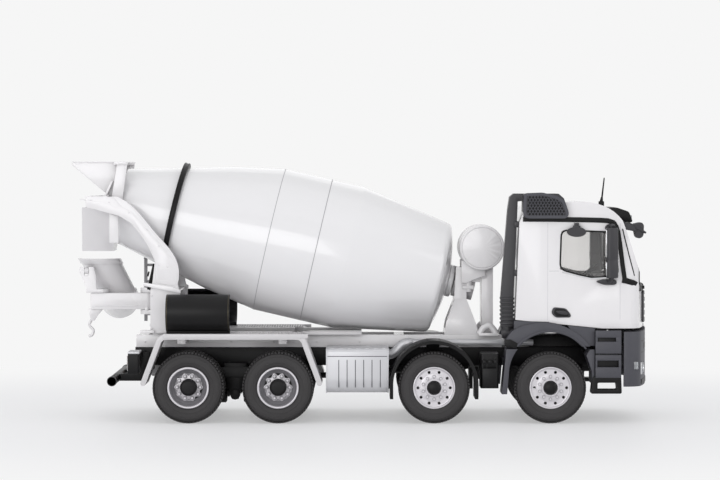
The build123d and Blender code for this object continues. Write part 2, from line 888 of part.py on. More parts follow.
def front_plan(rear, front, half, corner):
    """Plan form with a crowned front and rounded front corners, as the cab and the bumper share."""
    sag = front_crown - sqrt(front_crown**2 - half**2)
    with BuildSketch() as plan:
        with BuildLine():
            ThreePointArc((front - sag, -half), (front, 0), (front - sag, half))
            Polyline((front - sag, half), (rear, half), (rear, -half), (front - sag, -half))
        make_face()
        fillet(plan.vertices().group_by(Axis.X)[-1], radius=corner)
    return plan.sketch


def make_bumper():
    """The wrap-round bumper with its lamp pockets, its towing-pin bore and the cab hinge's pockets."""
    height = bumper_top_z - bumper_bottom_z
    beam_z = (rail_top + rail_bottom) / 2
    hinge_boss = cab_pin_radius + 0.15
    with BuildPart() as bumper:
        with BuildSketch(Plane.XY.offset(bumper_bottom_z)):
            add(front_plan(bumper_rear_x, bumper_front_x, bumper_half_width, front_corner))
        extrude(amount=height)
        with BuildSketch(Plane.XY.offset(bumper_bottom_z - 1)):
            add(
                front_plan(
                    bumper_rear_x - 1,
                    bumper_front_x - bumper_wall,
                    bumper_half_width - bumper_wall,
                    front_corner - bumper_wall,
                )
            )
        extrude(amount=height - 1, mode=Mode.SUBTRACT)
        with BuildSketch(Plane.XY.offset(bumper_top_z - 3.2)):
            with Locations((82.0, 0)):
                Rectangle(7.2, 2 * rail_y + 8, mode=Mode.ADD)
        extrude(amount=4.0, mode=Mode.SUBTRACT)
        with BuildSketch(Plane.YZ.offset(rail_front_x)):
            with Locations((0, beam_z)):
                Rectangle(2 * rail_y, rail_top - rail_bottom)
        extrude(amount=bumper_front_x - bumper_wall / 2 - rail_front_x)
        for side in ends:
            with BuildSketch(Plane.XZ.offset(-side * (cab_hinge_y - cab_hinge_width / 2 - seat_gap))):
                with Locations((cab_pivot_x, cab_pivot_z - 0.4)):
                    Rectangle(2.2, 2.6)
            extrude(amount=-side * (cab_hinge_width + 2 * seat_gap), mode=Mode.SUBTRACT)
            with BuildSketch(Plane.XZ.offset(-side * (cab_hinge_y - cab_hinge_width / 2 - 0.8))):
                with Locations((cab_pivot_x, cab_pivot_z)):
                    Circle(hinge_boss)
                with Locations((cab_pivot_x, cab_pivot_z - 0.7)):
                    Rectangle(2 * hinge_boss, 1.4)
            extrude(amount=-side * (cab_hinge_width + 1.6))
            with BuildSketch(Plane.XZ.offset(-side * (cab_hinge_y - cab_hinge_width / 2 - seat_gap))):
                with Locations((cab_pivot_x, cab_pivot_z - 0.4)):
                    Rectangle(2.2, 2.8)
            extrude(amount=-side * (cab_hinge_width + 2 * seat_gap), mode=Mode.SUBTRACT)
            with BuildSketch(Plane.XZ.offset(-side * (cab_hinge_y - cab_hinge_width / 2 - 0.8))):
                with Locations((cab_pivot_x, cab_pivot_z)):
                    Circle(cab_pin_radius)
            extrude(amount=-side * (cab_hinge_width + 1.6))
        with BuildSketch(Plane.YZ.offset(bumper_front_x + 1)):
            with Locations((0, beam_z)):
                Circle(tow_pin_radius)
        extrude(amount=-6.0, mode=Mode.SUBTRACT)
        for side in ends:
            with BuildSketch(Plane.YZ.offset(bumper_front_x + 1)):
                with Locations((side * 18.0, 16.4)):
                    RectangleRounded(6.0, 4.0, 0.9)
            extrude(amount=-2.6, mode=Mode.SUBTRACT)
    bumper.part.label = "front_bumper"
    export_step(bumper.part, "parts/front_bumper.step")


def make_steps():
    """The two entry steps between the arch and the bumper, each with an open step ring below."""
    with BuildPart() as steps:
        for side in ends:
            with BuildSketch(Plane.XY.offset(13.4)):
                with Locations(((step_rear_x + step_front_x) / 2, side * (step_outer_y - 2.2))):
                    Rectangle(step_front_x - step_rear_x, 4.4)
            extrude(amount=step_top_z - 13.4)
            for z, height in ((22.6, 2.2), (17.0, 2.6)):
                with BuildSketch(Plane.XZ.offset(-side * step_outer_y)):
                    with Locations(((step_rear_x + step_front_x) / 2, z)):
                        Rectangle(step_front_x - step_rear_x - 1.6, height)
                extrude(amount=side * 2.2, mode=Mode.SUBTRACT)
            with BuildSketch(Plane.XZ.offset(-side * step_outer_y)):
                with Locations(((step_rear_x + step_front_x) / 2, 11.5)):
                    RectangleRounded(step_front_x - step_rear_x, 4.0, 0.9)
                    RectangleRounded(step_front_x - step_rear_x - 2.4, 1.9, 0.6, mode=Mode.SUBTRACT)
            extrude(amount=side * 4.4)
            with BuildSketch(Plane.XZ.offset(-side * rail_y)):
                with Locations((74.5, 19.2)):
                    Rectangle(3.0, 2.6)
            extrude(amount=-side * (step_outer_y - 4.4 - rail_y))
    steps.part.label = "entry_steps"
    export_step(steps.part, "parts/entry_steps.step")


# Drum and its stands
def make_drum():
    """The drum's shell, turned from its profile, with the mouth open and a shaft at its head."""
    wall = drum_wall
    with BuildPart() as drum:
        with BuildSketch(drum_plane):
            with BuildLine():
                Line((mouth_t, mouth_radius - wall), (mouth_t, mouth_radius))
                Line((mouth_t, mouth_radius), (rear_cone_t, rear_cone_radius))
                Line((rear_cone_t, rear_cone_radius), (belly_rear_t, drum_radius))
                Line((belly_rear_t, drum_radius), (belly_front_t, drum_radius))
                Line((belly_front_t, drum_radius), (front_cone_t, front_cone_radius))
                ThreePointArc(
                    (front_cone_t, front_cone_radius),
                    (head_t - 0.5, front_cone_radius - 0.8),
                    (head_t, head_radius),
                )
                ThreePointArc(
                    (head_t, head_radius),
                    (head_t + head_dish * 0.72, head_radius / 2),
                    (head_t + head_dish, 0),
                )
                Line((head_t + head_dish, 0), (head_t + head_dish - wall, 0))
                ThreePointArc(
                    (head_t + head_dish - wall, 0),
                    (head_t + head_dish * 0.72 - wall, head_radius / 2),
                    (head_t - wall, head_radius - wall),
                )
                Line((head_t - wall, head_radius - wall), (front_cone_t - wall, front_cone_radius - wall))
                Line((front_cone_t - wall, front_cone_radius - wall), (belly_front_t, drum_radius - wall))
                Line((belly_front_t, drum_radius - wall), (belly_rear_t, drum_radius - wall))
                Line((belly_rear_t, drum_radius - wall), (rear_cone_t, rear_cone_radius - wall))
                Line((rear_cone_t, rear_cone_radius - wall), (mouth_t, mouth_radius - wall))
            make_face()
        revolve(axis=drum_axis)
        flange_t = head_t + head_dish
        with BuildSketch(drum_cross(flange_t - wall / 2)):
            Circle(flange_radius)
        extrude(amount=flange_thickness + wall / 2)
        with BuildSketch(drum_cross(flange_t + flange_thickness)):
            Circle(drum_shaft_radius)
        extrude(amount=drum_shaft_length)
    drum.part.label = "drum_shell"
    export_step(drum.part, "parts/drum_shell.step")


def drum_skin_radius(t):
    """Outer radius of the drum's rear cone at t."""
    share = (t - mouth_t) / (rear_cone_t - mouth_t)
    return mouth_radius + share * (rear_cone_radius - mouth_radius)


def make_drum_ring():
    """The roller ring round the rear cone."""
    t0 = ring_t - ring_width / 2
    t1 = ring_t + ring_width / 2
    with BuildPart() as ring:
        with BuildSketch(drum_plane):
            with BuildLine():
                Polyline(
                    (t0, drum_skin_radius(t0)),
                    (t1, drum_skin_radius(t1)),
                    (t1, ring_radius),
                    (t0, ring_radius),
                    (t0, drum_skin_radius(t0)),
                )
            make_face()
        revolve(axis=drum_axis)
    ring.part.label = "drum_ring"
    export_step(ring.part, "parts/drum_ring.step")


gearbox_t = head_t + head_dish + flange_thickness + 0.3


def make_gearbox():
    """The drum's gearbox, round on the drum's axis, held in the front stand."""
    with BuildPart() as gearbox:
        with BuildSketch(drum_cross(gearbox_t)):
            Circle(gearbox_radius)
            Circle(drum_shaft_radius + shaft_gap, mode=Mode.SUBTRACT)
        extrude(amount=gearbox_length)
        with BuildSketch(drum_cross(gearbox_t + gearbox_length - 1.5)):
            Circle(gearbox_radius)
        extrude(amount=1.5)
    gearbox.part.label = "drum_gearbox"
    export_step(gearbox.part, "parts/drum_gearbox.step")


def make_front_stand():
    """The pedestal under the gearbox, wide at the subframe and narrow at the neck."""
    base = rail_top + subframe_height
    with BuildPart() as stand:
        with BuildSketch(Plane.XZ.offset(-rail_y)):
            with BuildLine():
                Polyline(
                    (25.9, base),
                    (36.6, base),
                    (35.6, base + 3.6),
                    (32.8, 36.6),
                    (32.8, 46.4),
                    (29.6, 46.4),
                    (28.9, 36.0),
                    (26.6, base + 4.0),
                    (25.9, base),
                )
            make_face()
        extrude(amount=2 * rail_y)
        with BuildSketch(Plane.YZ.offset(20.0)):
            with BuildLine():
                Polyline((rail_y, base), (rail_y, base + 5), (6.0, 37.0), (6.0, 48.0), (12.0, 48.0), (12.0, base), (rail_y, base))
            make_face()
            mirror(about=Plane.YZ)
        extrude(amount=25.0, mode=Mode.SUBTRACT)
        with BuildSketch(Plane.YZ.offset(20.0)):
            with BuildLine():
                Polyline((5.2, base + 1.6), (3.4, 34.6), (-3.4, 34.6), (-5.2, base + 1.6), (5.2, base + 1.6))
            make_face()
        extrude(amount=25.0, mode=Mode.SUBTRACT)
        with BuildSketch(drum_cross(gearbox_t - 6)):
            Circle(gearbox_radius + shaft_gap)
        extrude(amount=gearbox_length + 12, mode=Mode.SUBTRACT)
        with BuildSketch(drum_cross(gearbox_t - 6)):
            Circle(flange_radius + 1.2)
        extrude(amount=6.0, mode=Mode.SUBTRACT)
    stand.part.label = "front_drum_stand"
    export_step(stand.part, "parts/front_drum_stand.step")


def add_stand_plate(y, thickness):
    """Add one side plate of the rear stand, from the subframe up to the hopper's frame."""
    base = fender_top_z
    flange = stand_flange_z
    with BuildSketch(Plane.XZ.offset(-y)) as plate:
        with BuildLine():
            Polyline(
                (stand_rear_x, base),
                (stand_rear_x, flange),
                (stand_rear_x + 0.6, flange + stand_flange_height),
                (-62.2, 48.6),
            )
            Spline(
                (-62.2, 48.6),
                (-65.6, 55.4),
                (-70.6, 61.2),
                (-77.6, stand_head_z - stand_head_height + 0.6),
                (stand_head_rear_x, stand_head_z - stand_head_height + 2.0),
            )
            Polyline(
                (stand_head_rear_x, stand_head_z - stand_head_height + 2.0),
                (stand_head_rear_x, stand_head_z),
                (-73.4, stand_head_z - 0.2),
            )
            Spline(
                (-73.4, stand_head_z - 0.2),
                (-69.4, 65.6),
                (-62.0, 57.2),
                (-56.0, 49.6),
                (-55.4, flange + stand_flange_height),
            )
            Polyline(
                (-55.4, flange + stand_flange_height),
                (stand_front_x, flange),
                (stand_front_x, base),
                (stand_rear_x, base),
            )
        make_face()
    extrude(plate.sketch, amount=-thickness)


def make_rear_stand():
    """Two curved side plates joined by beams, which carry the rollers and the hopper."""
    base = rail_top + subframe_height
    inner = stand_y - stand_plate
    with BuildPart() as stand:
        add_stand_plate(inner, stand_plate)
        add_stand_plate(-stand_y, stand_plate)
        with BuildSketch(Plane.XY.offset(base)):
            with Locations(((stand_rear_x + stand_front_x) / 2, 0)):
                Rectangle(stand_front_x - stand_rear_x, 2 * rail_y - 0.4)
        extrude(amount=fender_top_z - base)
        with BuildSketch(Plane.XY.offset(fender_top_z)):
            with Locations(((stand_rear_x + stand_front_x) / 2, 0)):
                Rectangle(stand_front_x - stand_rear_x, 2 * stand_y)
        extrude(amount=2.4)
        with BuildSketch(Plane.XY.offset(stand_flange_z - 2.0)):
            with Locations(((stand_rear_x + stand_front_x) / 2, 0)):
                Rectangle(stand_front_x - stand_rear_x - 1.6, 2 * stand_y - 1)
        extrude(amount=2.8)
        with BuildSketch(Plane.XY.offset(base)):
            with Locations((chute_pivot_x + 4.4, 0)):
                Rectangle(4.0, 7.0)
        extrude(amount=stand_flange_z - base)
        for z in (chute_arm_z - 1.6, chute_arm_z + chute_arm_height + 0.2):
            with BuildSketch(Plane.XY.offset(z)):
                with Locations((chute_pivot_x, 0)):
                    Circle(2.1)
                with Locations((chute_pivot_x + 1.7, 0)):
                    Rectangle(3.4, 4.2)
            extrude(amount=1.4)
        with BuildSketch(Plane.XY.offset(chute_arm_z - 1.6)):
            with Locations((chute_pivot_x, 0)):
                Circle(chute_pin_radius)
        extrude(amount=chute_arm_height + 3.2)
        with BuildSketch(Plane.XY.offset(stand_head_z - 1.4)):
            with Locations((stand_head_rear_x + 1.0, 0), (hopper_front_x - 3.6, 0)):
                Rectangle(2.0, 2 * stand_y)
        extrude(amount=1.4)
    stand.part.label = "rear_drum_stand"
    export_step(stand.part, "parts/rear_drum_stand.step")


def make_rollers():
    """The two rollers under the drum's ring, each in its bracket on the rear stand."""
    reach = ring_radius + roller_run_gap + roller_radius
    drop = reach * cos(radians(roller_spread))
    spread = reach * sin(radians(roller_spread))
    t0 = ring_t - roller_width / 2
    with BuildPart() as rollers:
        for side in ends:
            with BuildSketch(drum_cross(t0)):
                with Locations((side * spread, -drop)):
                    Circle(roller_radius)
            extrude(amount=roller_width)
            with BuildSketch(drum_cross(t0 - 1.2)):
                with Locations((side * spread, -drop)):
                    Circle(0.8)
            extrude(amount=roller_width + 2.4)
            for t in (t0 - 1.2, t0 + roller_width + 0.2):
                with BuildSketch(drum_cross(t)):
                    with Locations((side * spread, -drop)):
                        Circle(1.3)
                    with Locations((side * spread, -drop - 3.4)):
                        Rectangle(2.6, 6.8)
                extrude(amount=1.0)
        with BuildSketch(Plane.XY.offset(stand_flange_z + 0.8 - 30)):
            with Locations((-58, 0)):
                Rectangle(40, 60)
        extrude(amount=30, mode=Mode.SUBTRACT)
    rollers.part.label = "drum_rollers"
    export_step(rollers.part, "parts/drum_rollers.step")


def make_hopper():
    """The charging hopper, open at the top, with its spout into the drum's mouth."""
    rear = hopper_rear_x
    front = hopper_front_x
    top = hopper_top_z
    floor = hopper_floor_z
    half = hopper_half_width
    wall = hopper_wall
    spout_top = floor + 5.0
    spout_end = front + 4.6
    with BuildPart() as hopper:
        with BuildSketch(Plane.XZ.offset(-half)):
            Polygon((rear, top), (front, top), (front - 1.4, floor), (front - 2.6, floor), (rear, top - 1.2), align=None)
        extrude(amount=2 * half)
        with BuildSketch(Plane.XZ.offset(-spout_half)):
            Polygon(
                (front - 2.6, floor),
                (front - 2.6, spout_top),
                (spout_end, spout_top - 0.6),
                (spout_end, floor - 1.2),
                align=None,
            )
        extrude(amount=2 * spout_half)
        with BuildSketch(Plane.XZ.offset(-half + wall)):
            Polygon(
                (rear + wall, top + 1),
                (front - wall, top + 1),
                (front - 1.4 - wall, floor + wall),
                (front - 2.6 + wall / 2, floor + wall),
                (rear + wall, top - 1.0),
                align=None,
            )
        extrude(amount=2 * (half - wall), mode=Mode.SUBTRACT)
        with BuildSketch(Plane.XZ.offset(-spout_half + wall)):
            Polygon(
                (front - 3.0, floor + wall),
                (front - 3.0, spout_top - wall),
                (spout_end + 1, spout_top - 0.6 - wall),
                (spout_end + 1, floor - 1.2 + wall),
                align=None,
            )
        extrude(amount=2 * (spout_half - wall), mode=Mode.SUBTRACT)
    hopper.part.label = "charging_hopper"
    export_step(hopper.part, "parts/charging_hopper.step")


def funnel_block(inset):
    """The discharge funnel's form, inset from its skin: wide at the drum, narrow at the throat."""
    rear = funnel_rear_x + inset
    with BuildPart() as block:
        with BuildSketch(Plane.XY.offset(funnel_bottom_z - inset / 10)):
            with Locations(((rear + funnel_front_x - 1.7 - inset) / 2, 0)):
                Rectangle(funnel_front_x - 1.7 - inset - rear, 2 * (funnel_throat_half - inset))
        with BuildSketch(Plane.XY.offset(funnel_top_z + inset / 10)):
            with Locations(((rear + 0.8 + funnel_front_x - inset) / 2, 0)):
                Rectangle(funnel_front_x - inset - rear - 0.8, 2 * (funnel_half_width - inset))
        loft()
    return block.part


def make_funnel():
    """The discharge funnel under the drum's mouth, with its hangers to the rear stand."""
    skin = funnel_block(0)
    hollow = funnel_block(funnel_wall)
    hanger_x = -79.9
    stand_inner = stand_y - stand_plate
    with BuildPart() as funnel:
        add(skin)
        add(hollow, mode=Mode.SUBTRACT)
        with BuildSketch(drum_cross(mouth_t - 0.6)):
            Circle(mouth_radius + 0.4)
        extrude(amount=20, mode=Mode.SUBTRACT)
        for side in ends:
            with BuildSketch(Plane.XZ.offset(-side * (funnel_half_width - funnel_wall))):
                with Locations((hanger_x, (funnel_top_z - 0.6 + stand_head_z) / 2)):
                    Rectangle(2.4, stand_head_z - funnel_top_z + 0.6)
            extrude(amount=-side * 0.7)
            with BuildSketch(Plane.XZ.offset(-side * (funnel_half_width - funnel_wall))):
                with Locations((hanger_x, stand_head_z - 0.6)):
                    Rectangle(2.4, 1.2)
            extrude(amount=-side * (stand_inner - funnel_half_width + funnel_wall))
    funnel.part.label = "discharge_funnel"
    export_step(funnel.part, "parts/discharge_funnel.step")


def make_ladder():
    """The ladder on the left of the rear stand, with its rungs between two rails."""
    y = stand_y + 0.6
    rear = -68.0
    front = -60.6
    with BuildPart() as ladder:
        for x in (rear, front):
            with BuildSketch(Plane.XY.offset(fender_top_z + 1.6)):
                with Locations((x, y)):
                    Rectangle(1.0, 1.0)
            extrude(amount=20.0)
        for step in range(4):
            with BuildSketch(Plane.XY.offset(fender_top_z + 3.4 + step * 5.2)):
                with Locations(((rear + front) / 2, y)):
                    Rectangle(front - rear, 0.8)
            extrude(amount=0.8)
    ladder.part.label = "ladder"
    export_step(ladder.part, "parts/ladder.step")


def make_spare_chutes():
    """Half-round spare chutes, stored on the rear mudguards with their round sides outward."""
    rear = fender_rear_x + 1.5
    length = 19.2
    outer = 5.6
    middle = track_half - 5.4
    with BuildPart() as chutes:
        for side in ends:
            with BuildSketch(Plane.YZ.offset(rear)):
                with Locations((side * middle, fender_top_z + outer + 0.6)):
                    Circle(outer)
                    Circle(outer - chute_wall, mode=Mode.SUBTRACT)
                with Locations((side * (middle - 10.0), fender_top_z + outer)):
                    Rectangle(20.0, 20.0, mode=Mode.SUBTRACT)
                with Locations((side * (middle + 0.8), fender_top_z + 0.45)):
                    Rectangle(1.4, 0.9)
            extrude(amount=length)
    chutes.part.label = "spare_chutes"
    export_step(chutes.part, "parts/spare_chutes.step")


def make_water_tank():
    """The water tank behind the cab, lying across the truck on its post."""
    base = rail_top + subframe_height
    with BuildPart() as tank:
        with BuildSketch(Plane.XZ.offset(-tank_half_length)):
            with Locations((tank_x, tank_z)):
                Circle(tank_radius)
        extrude(amount=2 * tank_half_length)
        fillet(tank.edges().filter_by(GeomType.CIRCLE), radius=1.4)
        with BuildSketch(Plane.XY.offset(base)):
            with Locations((tank_x + 1.8, 0)):
                Rectangle(3.6, 10.0)
        extrude(amount=tank_z - tank_radius - base + 1.0)
    tank.part.label = "water_tank"
    export_step(tank.part, "parts/water_tank.step")


# Chute
def level_plane(x, y, z):
    """Level plane with local x along +X and local y along +Y."""
    return Plane(origin=(x, y, z), x_dir=(1, 0, 0), z_dir=(0, 0, 1))


def bend_plane():
    """Upright plane across the chute at its bend, with local y up."""
    return Plane(origin=(chute_bend_x, chute_bend_y, chute_bend_z), x_dir=(1, 0, 0), z_dir=(0, -1, 0))


def half_ring(plane, inner, outer):
    """Half-round section of the chute's wall, on the plane's low side."""
    with BuildSketch(plane) as ring:
        with BuildLine():
            ThreePointArc((-outer, 0), (0, -outer), (outer, 0))
            Line((outer, 0), (inner, 0))
            ThreePointArc((inner, 0), (0, -inner), (-inner, 0))
            Line((-inner, 0), (-outer, 0))
        make_face()
    return ring.sketch


def half_disc(plane, radius):
    """Half-round section of the chute's hollow, on the plane's low side."""
    with BuildSketch(plane) as disc:
        with BuildLine():
            ThreePointArc((-radius, 0), (0, -radius), (radius, 0))
            Line((radius, 0), (-radius, 0))
        make_face()
    return disc.sketch


def make_chute_arm():
    """The box arm from the rear stand's pin to the turntable under the chute."""
    rear = chute_slew_x - turntable_radius
    top = chute_arm_z + chute_arm_height
    with BuildPart() as arm:
        with BuildSketch(Plane.XY.offset(chute_arm_z)):
            with Locations(((rear + chute_pivot_x) / 2, 0)):
                Rectangle(chute_pivot_x - rear, chute_arm_width)
            with Locations((chute_pivot_x, 0)):
                Circle(chute_arm_width / 2)
                Circle(chute_pin_radius + shaft_gap, mode=Mode.SUBTRACT)
        extrude(amount=chute_arm_height)
        with BuildSketch(Plane.XY.offset(top)):
            with Locations((chute_slew_x, 0)):
                Circle(slew_pin_radius + shaft_gap)
        extrude(amount=-slew_pin_length - 0.2, mode=Mode.SUBTRACT)
    arm.part.label = "chute_arm"
    export_step(arm.part, "parts/chute_arm.step")


def make_crank_jack():
    """The jack's gusset under the arm's end, with its crank hanging down."""
    top = chute_arm_z
    x = chute_slew_x - 0.3
    with BuildPart() as jack:
        with BuildSketch(Plane.XZ.offset(-0.9)):
            Polygon((x - 2.2, top), (x + 2.6, top), (x + 0.8, top - 4.0), (x - 1.0, top - 4.0), align=None)
        extrude(amount=1.8)
        with BuildSketch(Plane.XY.offset(top - 5.6)):
            with Locations((x - 0.1, 0)):
                Circle(0.7)
        extrude(amount=2.0)
        with BuildSketch(Plane.XY.offset(top - 5.6)):
            with Locations((x - 1.3, 0)):
                SlotOverall(3.4, 0.9)
        extrude(amount=-0.7)
        with BuildSketch(Plane.XY.offset(top - 6.3)):
            with Locations((x - 2.5, 0)):
                Circle(0.4)
        extrude(amount=-2.6)
    jack.part.label = "crank_jack"
    export_step(jack.part, "parts/crank_jack.step")


def make_chute_post():
    """The turntable with its pin, and the fork whose pin holds the chute's eye."""
    base = chute_arm_z + chute_arm_height + seat_gap
    foot = base + turntable_height
    plate = 1.4
    top = hinge_z + 1.2
    with BuildPart() as post:
        with BuildSketch(Plane.XY.offset(base)):
            with Locations((chute_slew_x, 0)):
                Circle(turntable_radius)
            with Locations(((hinge_x + chute_slew_x) / 2 + 0.6, hinge_y / 2 + 0.4)):
                Rectangle(5.4, plate - hinge_y + 1.0)
        extrude(amount=turntable_height)
        with BuildSketch(Plane.XY.offset(base - slew_pin_length)):
            with Locations((chute_slew_x, 0)):
                Circle(slew_pin_radius)
        extrude(amount=slew_pin_length)
        with BuildSketch(Plane.XZ.offset(-hinge_y - plate / 2)):
            Polygon(
                (hinge_x + 0.2, foot - 0.2),
                (hinge_x + 3.2, foot - 0.2),
                (hinge_x + 2.9, hinge_z - 1.4),
                (hinge_x + 2.2, top),
                (hinge_x - 2.1, top),
                (hinge_x - 2.3, hinge_z),
                (hinge_x - 1.2, hinge_z - 2.6),
                align=None,
            )
        extrude(amount=plate)
        with BuildSketch(Plane.XY.offset(hinge_z - 1.4)):
            with Locations((hinge_x, hinge_y)):
                Rectangle(hinge_eye_width + 2 * seat_gap, 2 * plate)
        extrude(amount=4.0, mode=Mode.SUBTRACT)
        with BuildSketch(Plane(origin=(hinge_x - 2.0, hinge_y, hinge_z), x_dir=(0, 1, 0), z_dir=(1, 0, 0))):
            Circle(hinge_pin_radius)
        extrude(amount=4.0)
    post.part.label = "chute_post"
    export_step(post.part, "parts/chute_post.step")


def make_chute():
    """The discharge chute: its steep round head, its bend and its half-round run, with the eye it tilts on."""
    inner = chute_radius - chute_wall
    rise = (chute_head_x - chute_bend_x, chute_head_y - chute_bend_y, chute_head_z - chute_bend_z)
    length = sqrt(rise[0] ** 2 + rise[1] ** 2 + rise[2] ** 2)
    fall = (0, cos(radians(chute_slope)), -sin(radians(chute_slope)))
    bend = level_plane(chute_bend_x, chute_bend_y, chute_bend_z)
    low = 1 - 1.7 / rise[2]
    rim = level_plane(
        chute_bend_x + low * rise[0], chute_bend_y + low * rise[1], chute_bend_z + low * rise[2]
    )
    eye = Plane(origin=(hinge_x - hinge_eye_width / 2, hinge_y, hinge_z), x_dir=(0, 1, 0), z_dir=(1, 0, 0))
    with BuildPart() as chute:
        extrude(half_ring(bend, inner, chute_radius), amount=length, dir=rise)
        extrude(half_ring(rim, inner, chute_radius + chute_lip), amount=length * (1 - low), dir=rise)
        revolve(
            half_ring(bend, inner, chute_radius),
            axis=Axis((chute_bend_x, chute_bend_y, chute_bend_z), (1, 0, 0)),
            revolution_arc=90,
        )
        extrude(half_ring(bend_plane(), inner, chute_radius), amount=chute_run, dir=fall)
        with BuildSketch(bend_plane()) as beads:
            with Locations((chute_radius - 0.2, 0), (0.2 - chute_radius, 0)):
                Rectangle(1.0, 1.0)
        extrude(beads.sketch, amount=chute_run, dir=fall)
        with BuildSketch(eye):
            Circle(hinge_eye_radius)
            with Locations((2.4, 0)):
                Rectangle(4.8, 1.5)
        extrude(amount=hinge_eye_width)
        with BuildSketch(eye):
            Circle(hinge_pin_radius + shaft_gap)
        extrude(amount=hinge_eye_width, mode=Mode.SUBTRACT)
        extrude(half_disc(bend, inner), amount=length, dir=rise, mode=Mode.SUBTRACT)
    chute.part.label = "discharge_chute"
    export_step(chute.part, "parts/discharge_chute.step")


# Cab
def cab_side(inset):
    """Side profile of the cab in X and Z, inset from its skin."""
    rear = cab_rear_x + inset
    front = cab_front_x - inset
    top = cab_top_z - inset
    low = cab_bottom_z + inset
    with BuildLine() as outline:
        Polyline(
            (rear, low + 2.6),
            (rear + 1.2, 60.5 - inset),
            (rear + 3.0, top - 1.4),
        )
        Spline(
            (rear + 3.0, top - 1.4),
            (rear + 14.0, top),
            (rear + 26.0, top - 0.8),
            (front - 8.2, 61.0 - inset),
        )
        Spline(
            (front - 8.2, 61.0 - inset),
            (front - 6.4, 56.0),
            (front - 2.4, 44.0),
            (front - 0.6, 38.0),
            (front, 33.0),
            (front - 0.2, low),
        )
        Polyline((front - 0.2, low), (front - 14.0, low), (rear, low + 2.6))
    make_face(outline.edges())


def cab_block(inset):
    """The cab's whole form, inset from its skin: its side profile cut to its plan profile."""
    with BuildPart() as block:
        with BuildSketch(Plane.XZ.offset(-30)):
            cab_side(inset)
        extrude(amount=60)
        with BuildSketch(Plane.XY.offset(20)):
            add(front_plan(cab_rear_x + inset, cab_front_x - inset, cab_half_width - inset, front_corner - inset))
        extrude(amount=50, mode=Mode.INTERSECT)
    return block.part


def side_window_outline(margin):
    """Outline of a side window in X and Z, grown by margin."""
    with BuildLine() as outline:
        Polyline(
            (60.6 - margin, 58.2 + margin),
            (76.6 + margin, 57.6 + margin),
            (77.8 + margin, 44.4 - margin),
            (69.4, 43.9 - margin),
            (60.2 - margin, 46.4 - margin),
            (60.6 - margin, 58.2 + margin),
        )
    make_face(outline.edges())


def window_prisms(margin):
    """Solids through the cab's two side windows and its windscreen, grown by margin."""
    with BuildPart() as prisms:
        with BuildSketch(Plane.XZ.offset(-40)):
            side_window_outline(margin)
        extrude(amount=80)
        with BuildSketch(Plane.YZ.offset(74.0)):
            with Locations((0, 49.6)):
                RectangleRounded(2 * cab_half_width - 7 + 2 * margin, 16.0 + 2 * margin, 1.6)
        extrude(amount=30)
    return prisms.part


def make_cab_shell():
    """The cab's shell, one casting with its windows cut, and the two eyes of its front hinge."""
    skin = cab_block(0)
    hollow = cab_block(cab_wall)
    windows = window_prisms(0)
    with BuildPart() as cab:
        add(skin)
        add(hollow, mode=Mode.SUBTRACT)
        add(windows, mode=Mode.SUBTRACT)
        for side in ends:
            with BuildSketch(Plane.XZ.offset(-side * (fender_inner_y + 0.8))):
                arch_outline(seat_gap)
            extrude(amount=-side * 20, mode=Mode.SUBTRACT)
            with BuildSketch(Plane.XZ.offset(-side * (cab_hinge_y - cab_hinge_width / 2))):
                with Locations((cab_pivot_x, cab_pivot_z)):
                    Circle(0.9)
                with Locations((cab_pivot_x - 0.05, cab_pivot_z + 0.75)):
                    Rectangle(0.9, 1.5)
                with Locations((cab_pivot_x, cab_pivot_z)):
                    Circle(cab_pin_radius + shaft_gap, mode=Mode.SUBTRACT)
            extrude(amount=-side * cab_hinge_width)
    cab.part.label = "cab_shell"
    export_step(cab.part, "parts/cab_shell.step")


def make_glazing():
    """The cab's panes, set against the inside of its walls round each window."""
    outer = cab_block(cab_wall + 0.02)
    inner = cab_block(cab_wall + glass_wall)
    windows = window_prisms(0.8)
    with BuildPart() as glazing:
        add(outer)
        add(inner, mode=Mode.SUBTRACT)
        add(windows, mode=Mode.INTERSECT)
    glazing.part.label = "cab_glazing"
    export_step(glazing.part, "parts/cab_glazing.step")


def make_interior():
    """The floor with its tunnel, two seats, the dashboard and the steering wheel."""
    floor_z = 33.0
    with BuildPart() as interior:
        with BuildSketch(Plane.XY.offset(floor_z)):
            with Locations((64.0, 0)):
                Rectangle(31.0, 2 * cab_half_width - 3.4)
        extrude(amount=0.8)
        with BuildSketch(Plane.XY.offset(floor_z)):
            with Locations((58.0, 0)):
                Rectangle(18.0, 14.0)
        extrude(amount=4.4)
        for side in ends:
            with BuildSketch(Plane.XY.offset(floor_z)):
                with Locations((59.8, side * 13.4)):
                    RectangleRounded(7.4, 8.6, 1.0)
            extrude(amount=6.8)
            with BuildSketch(Plane.XZ.offset(-side * (13.4 - 4.3))):
                Polygon((56.6, 38.0), (58.8, 38.0), (57.4, 55.6), (55.2, 55.6), align=None)
            extrude(amount=-side * 8.6)
        with BuildSketch(Plane.XZ.offset(-18.0)):
            Polygon((75.0, floor_z), (78.4, floor_z), (81.4, 39.4), (79.4, 42.4), (75.0, 41.8), (74.2, 38.6), align=None)
        extrude(amount=36.0)
        wheel = Plane(origin=(72.0, 13.4, 44.0), x_dir=(0, 1, 0), z_dir=(-0.62, 0, 0.78))
        with BuildSketch(wheel):
            Circle(3.9)
            Circle(3.3, mode=Mode.SUBTRACT)
            Rectangle(7.0, 0.9)
        extrude(amount=0.6)
        with BuildSketch(wheel):
            Circle(0.7)
        extrude(amount=-5.6)
    interior.part.label = "cab_interior"
    export_step(interior.part, "parts/cab_interior.step")


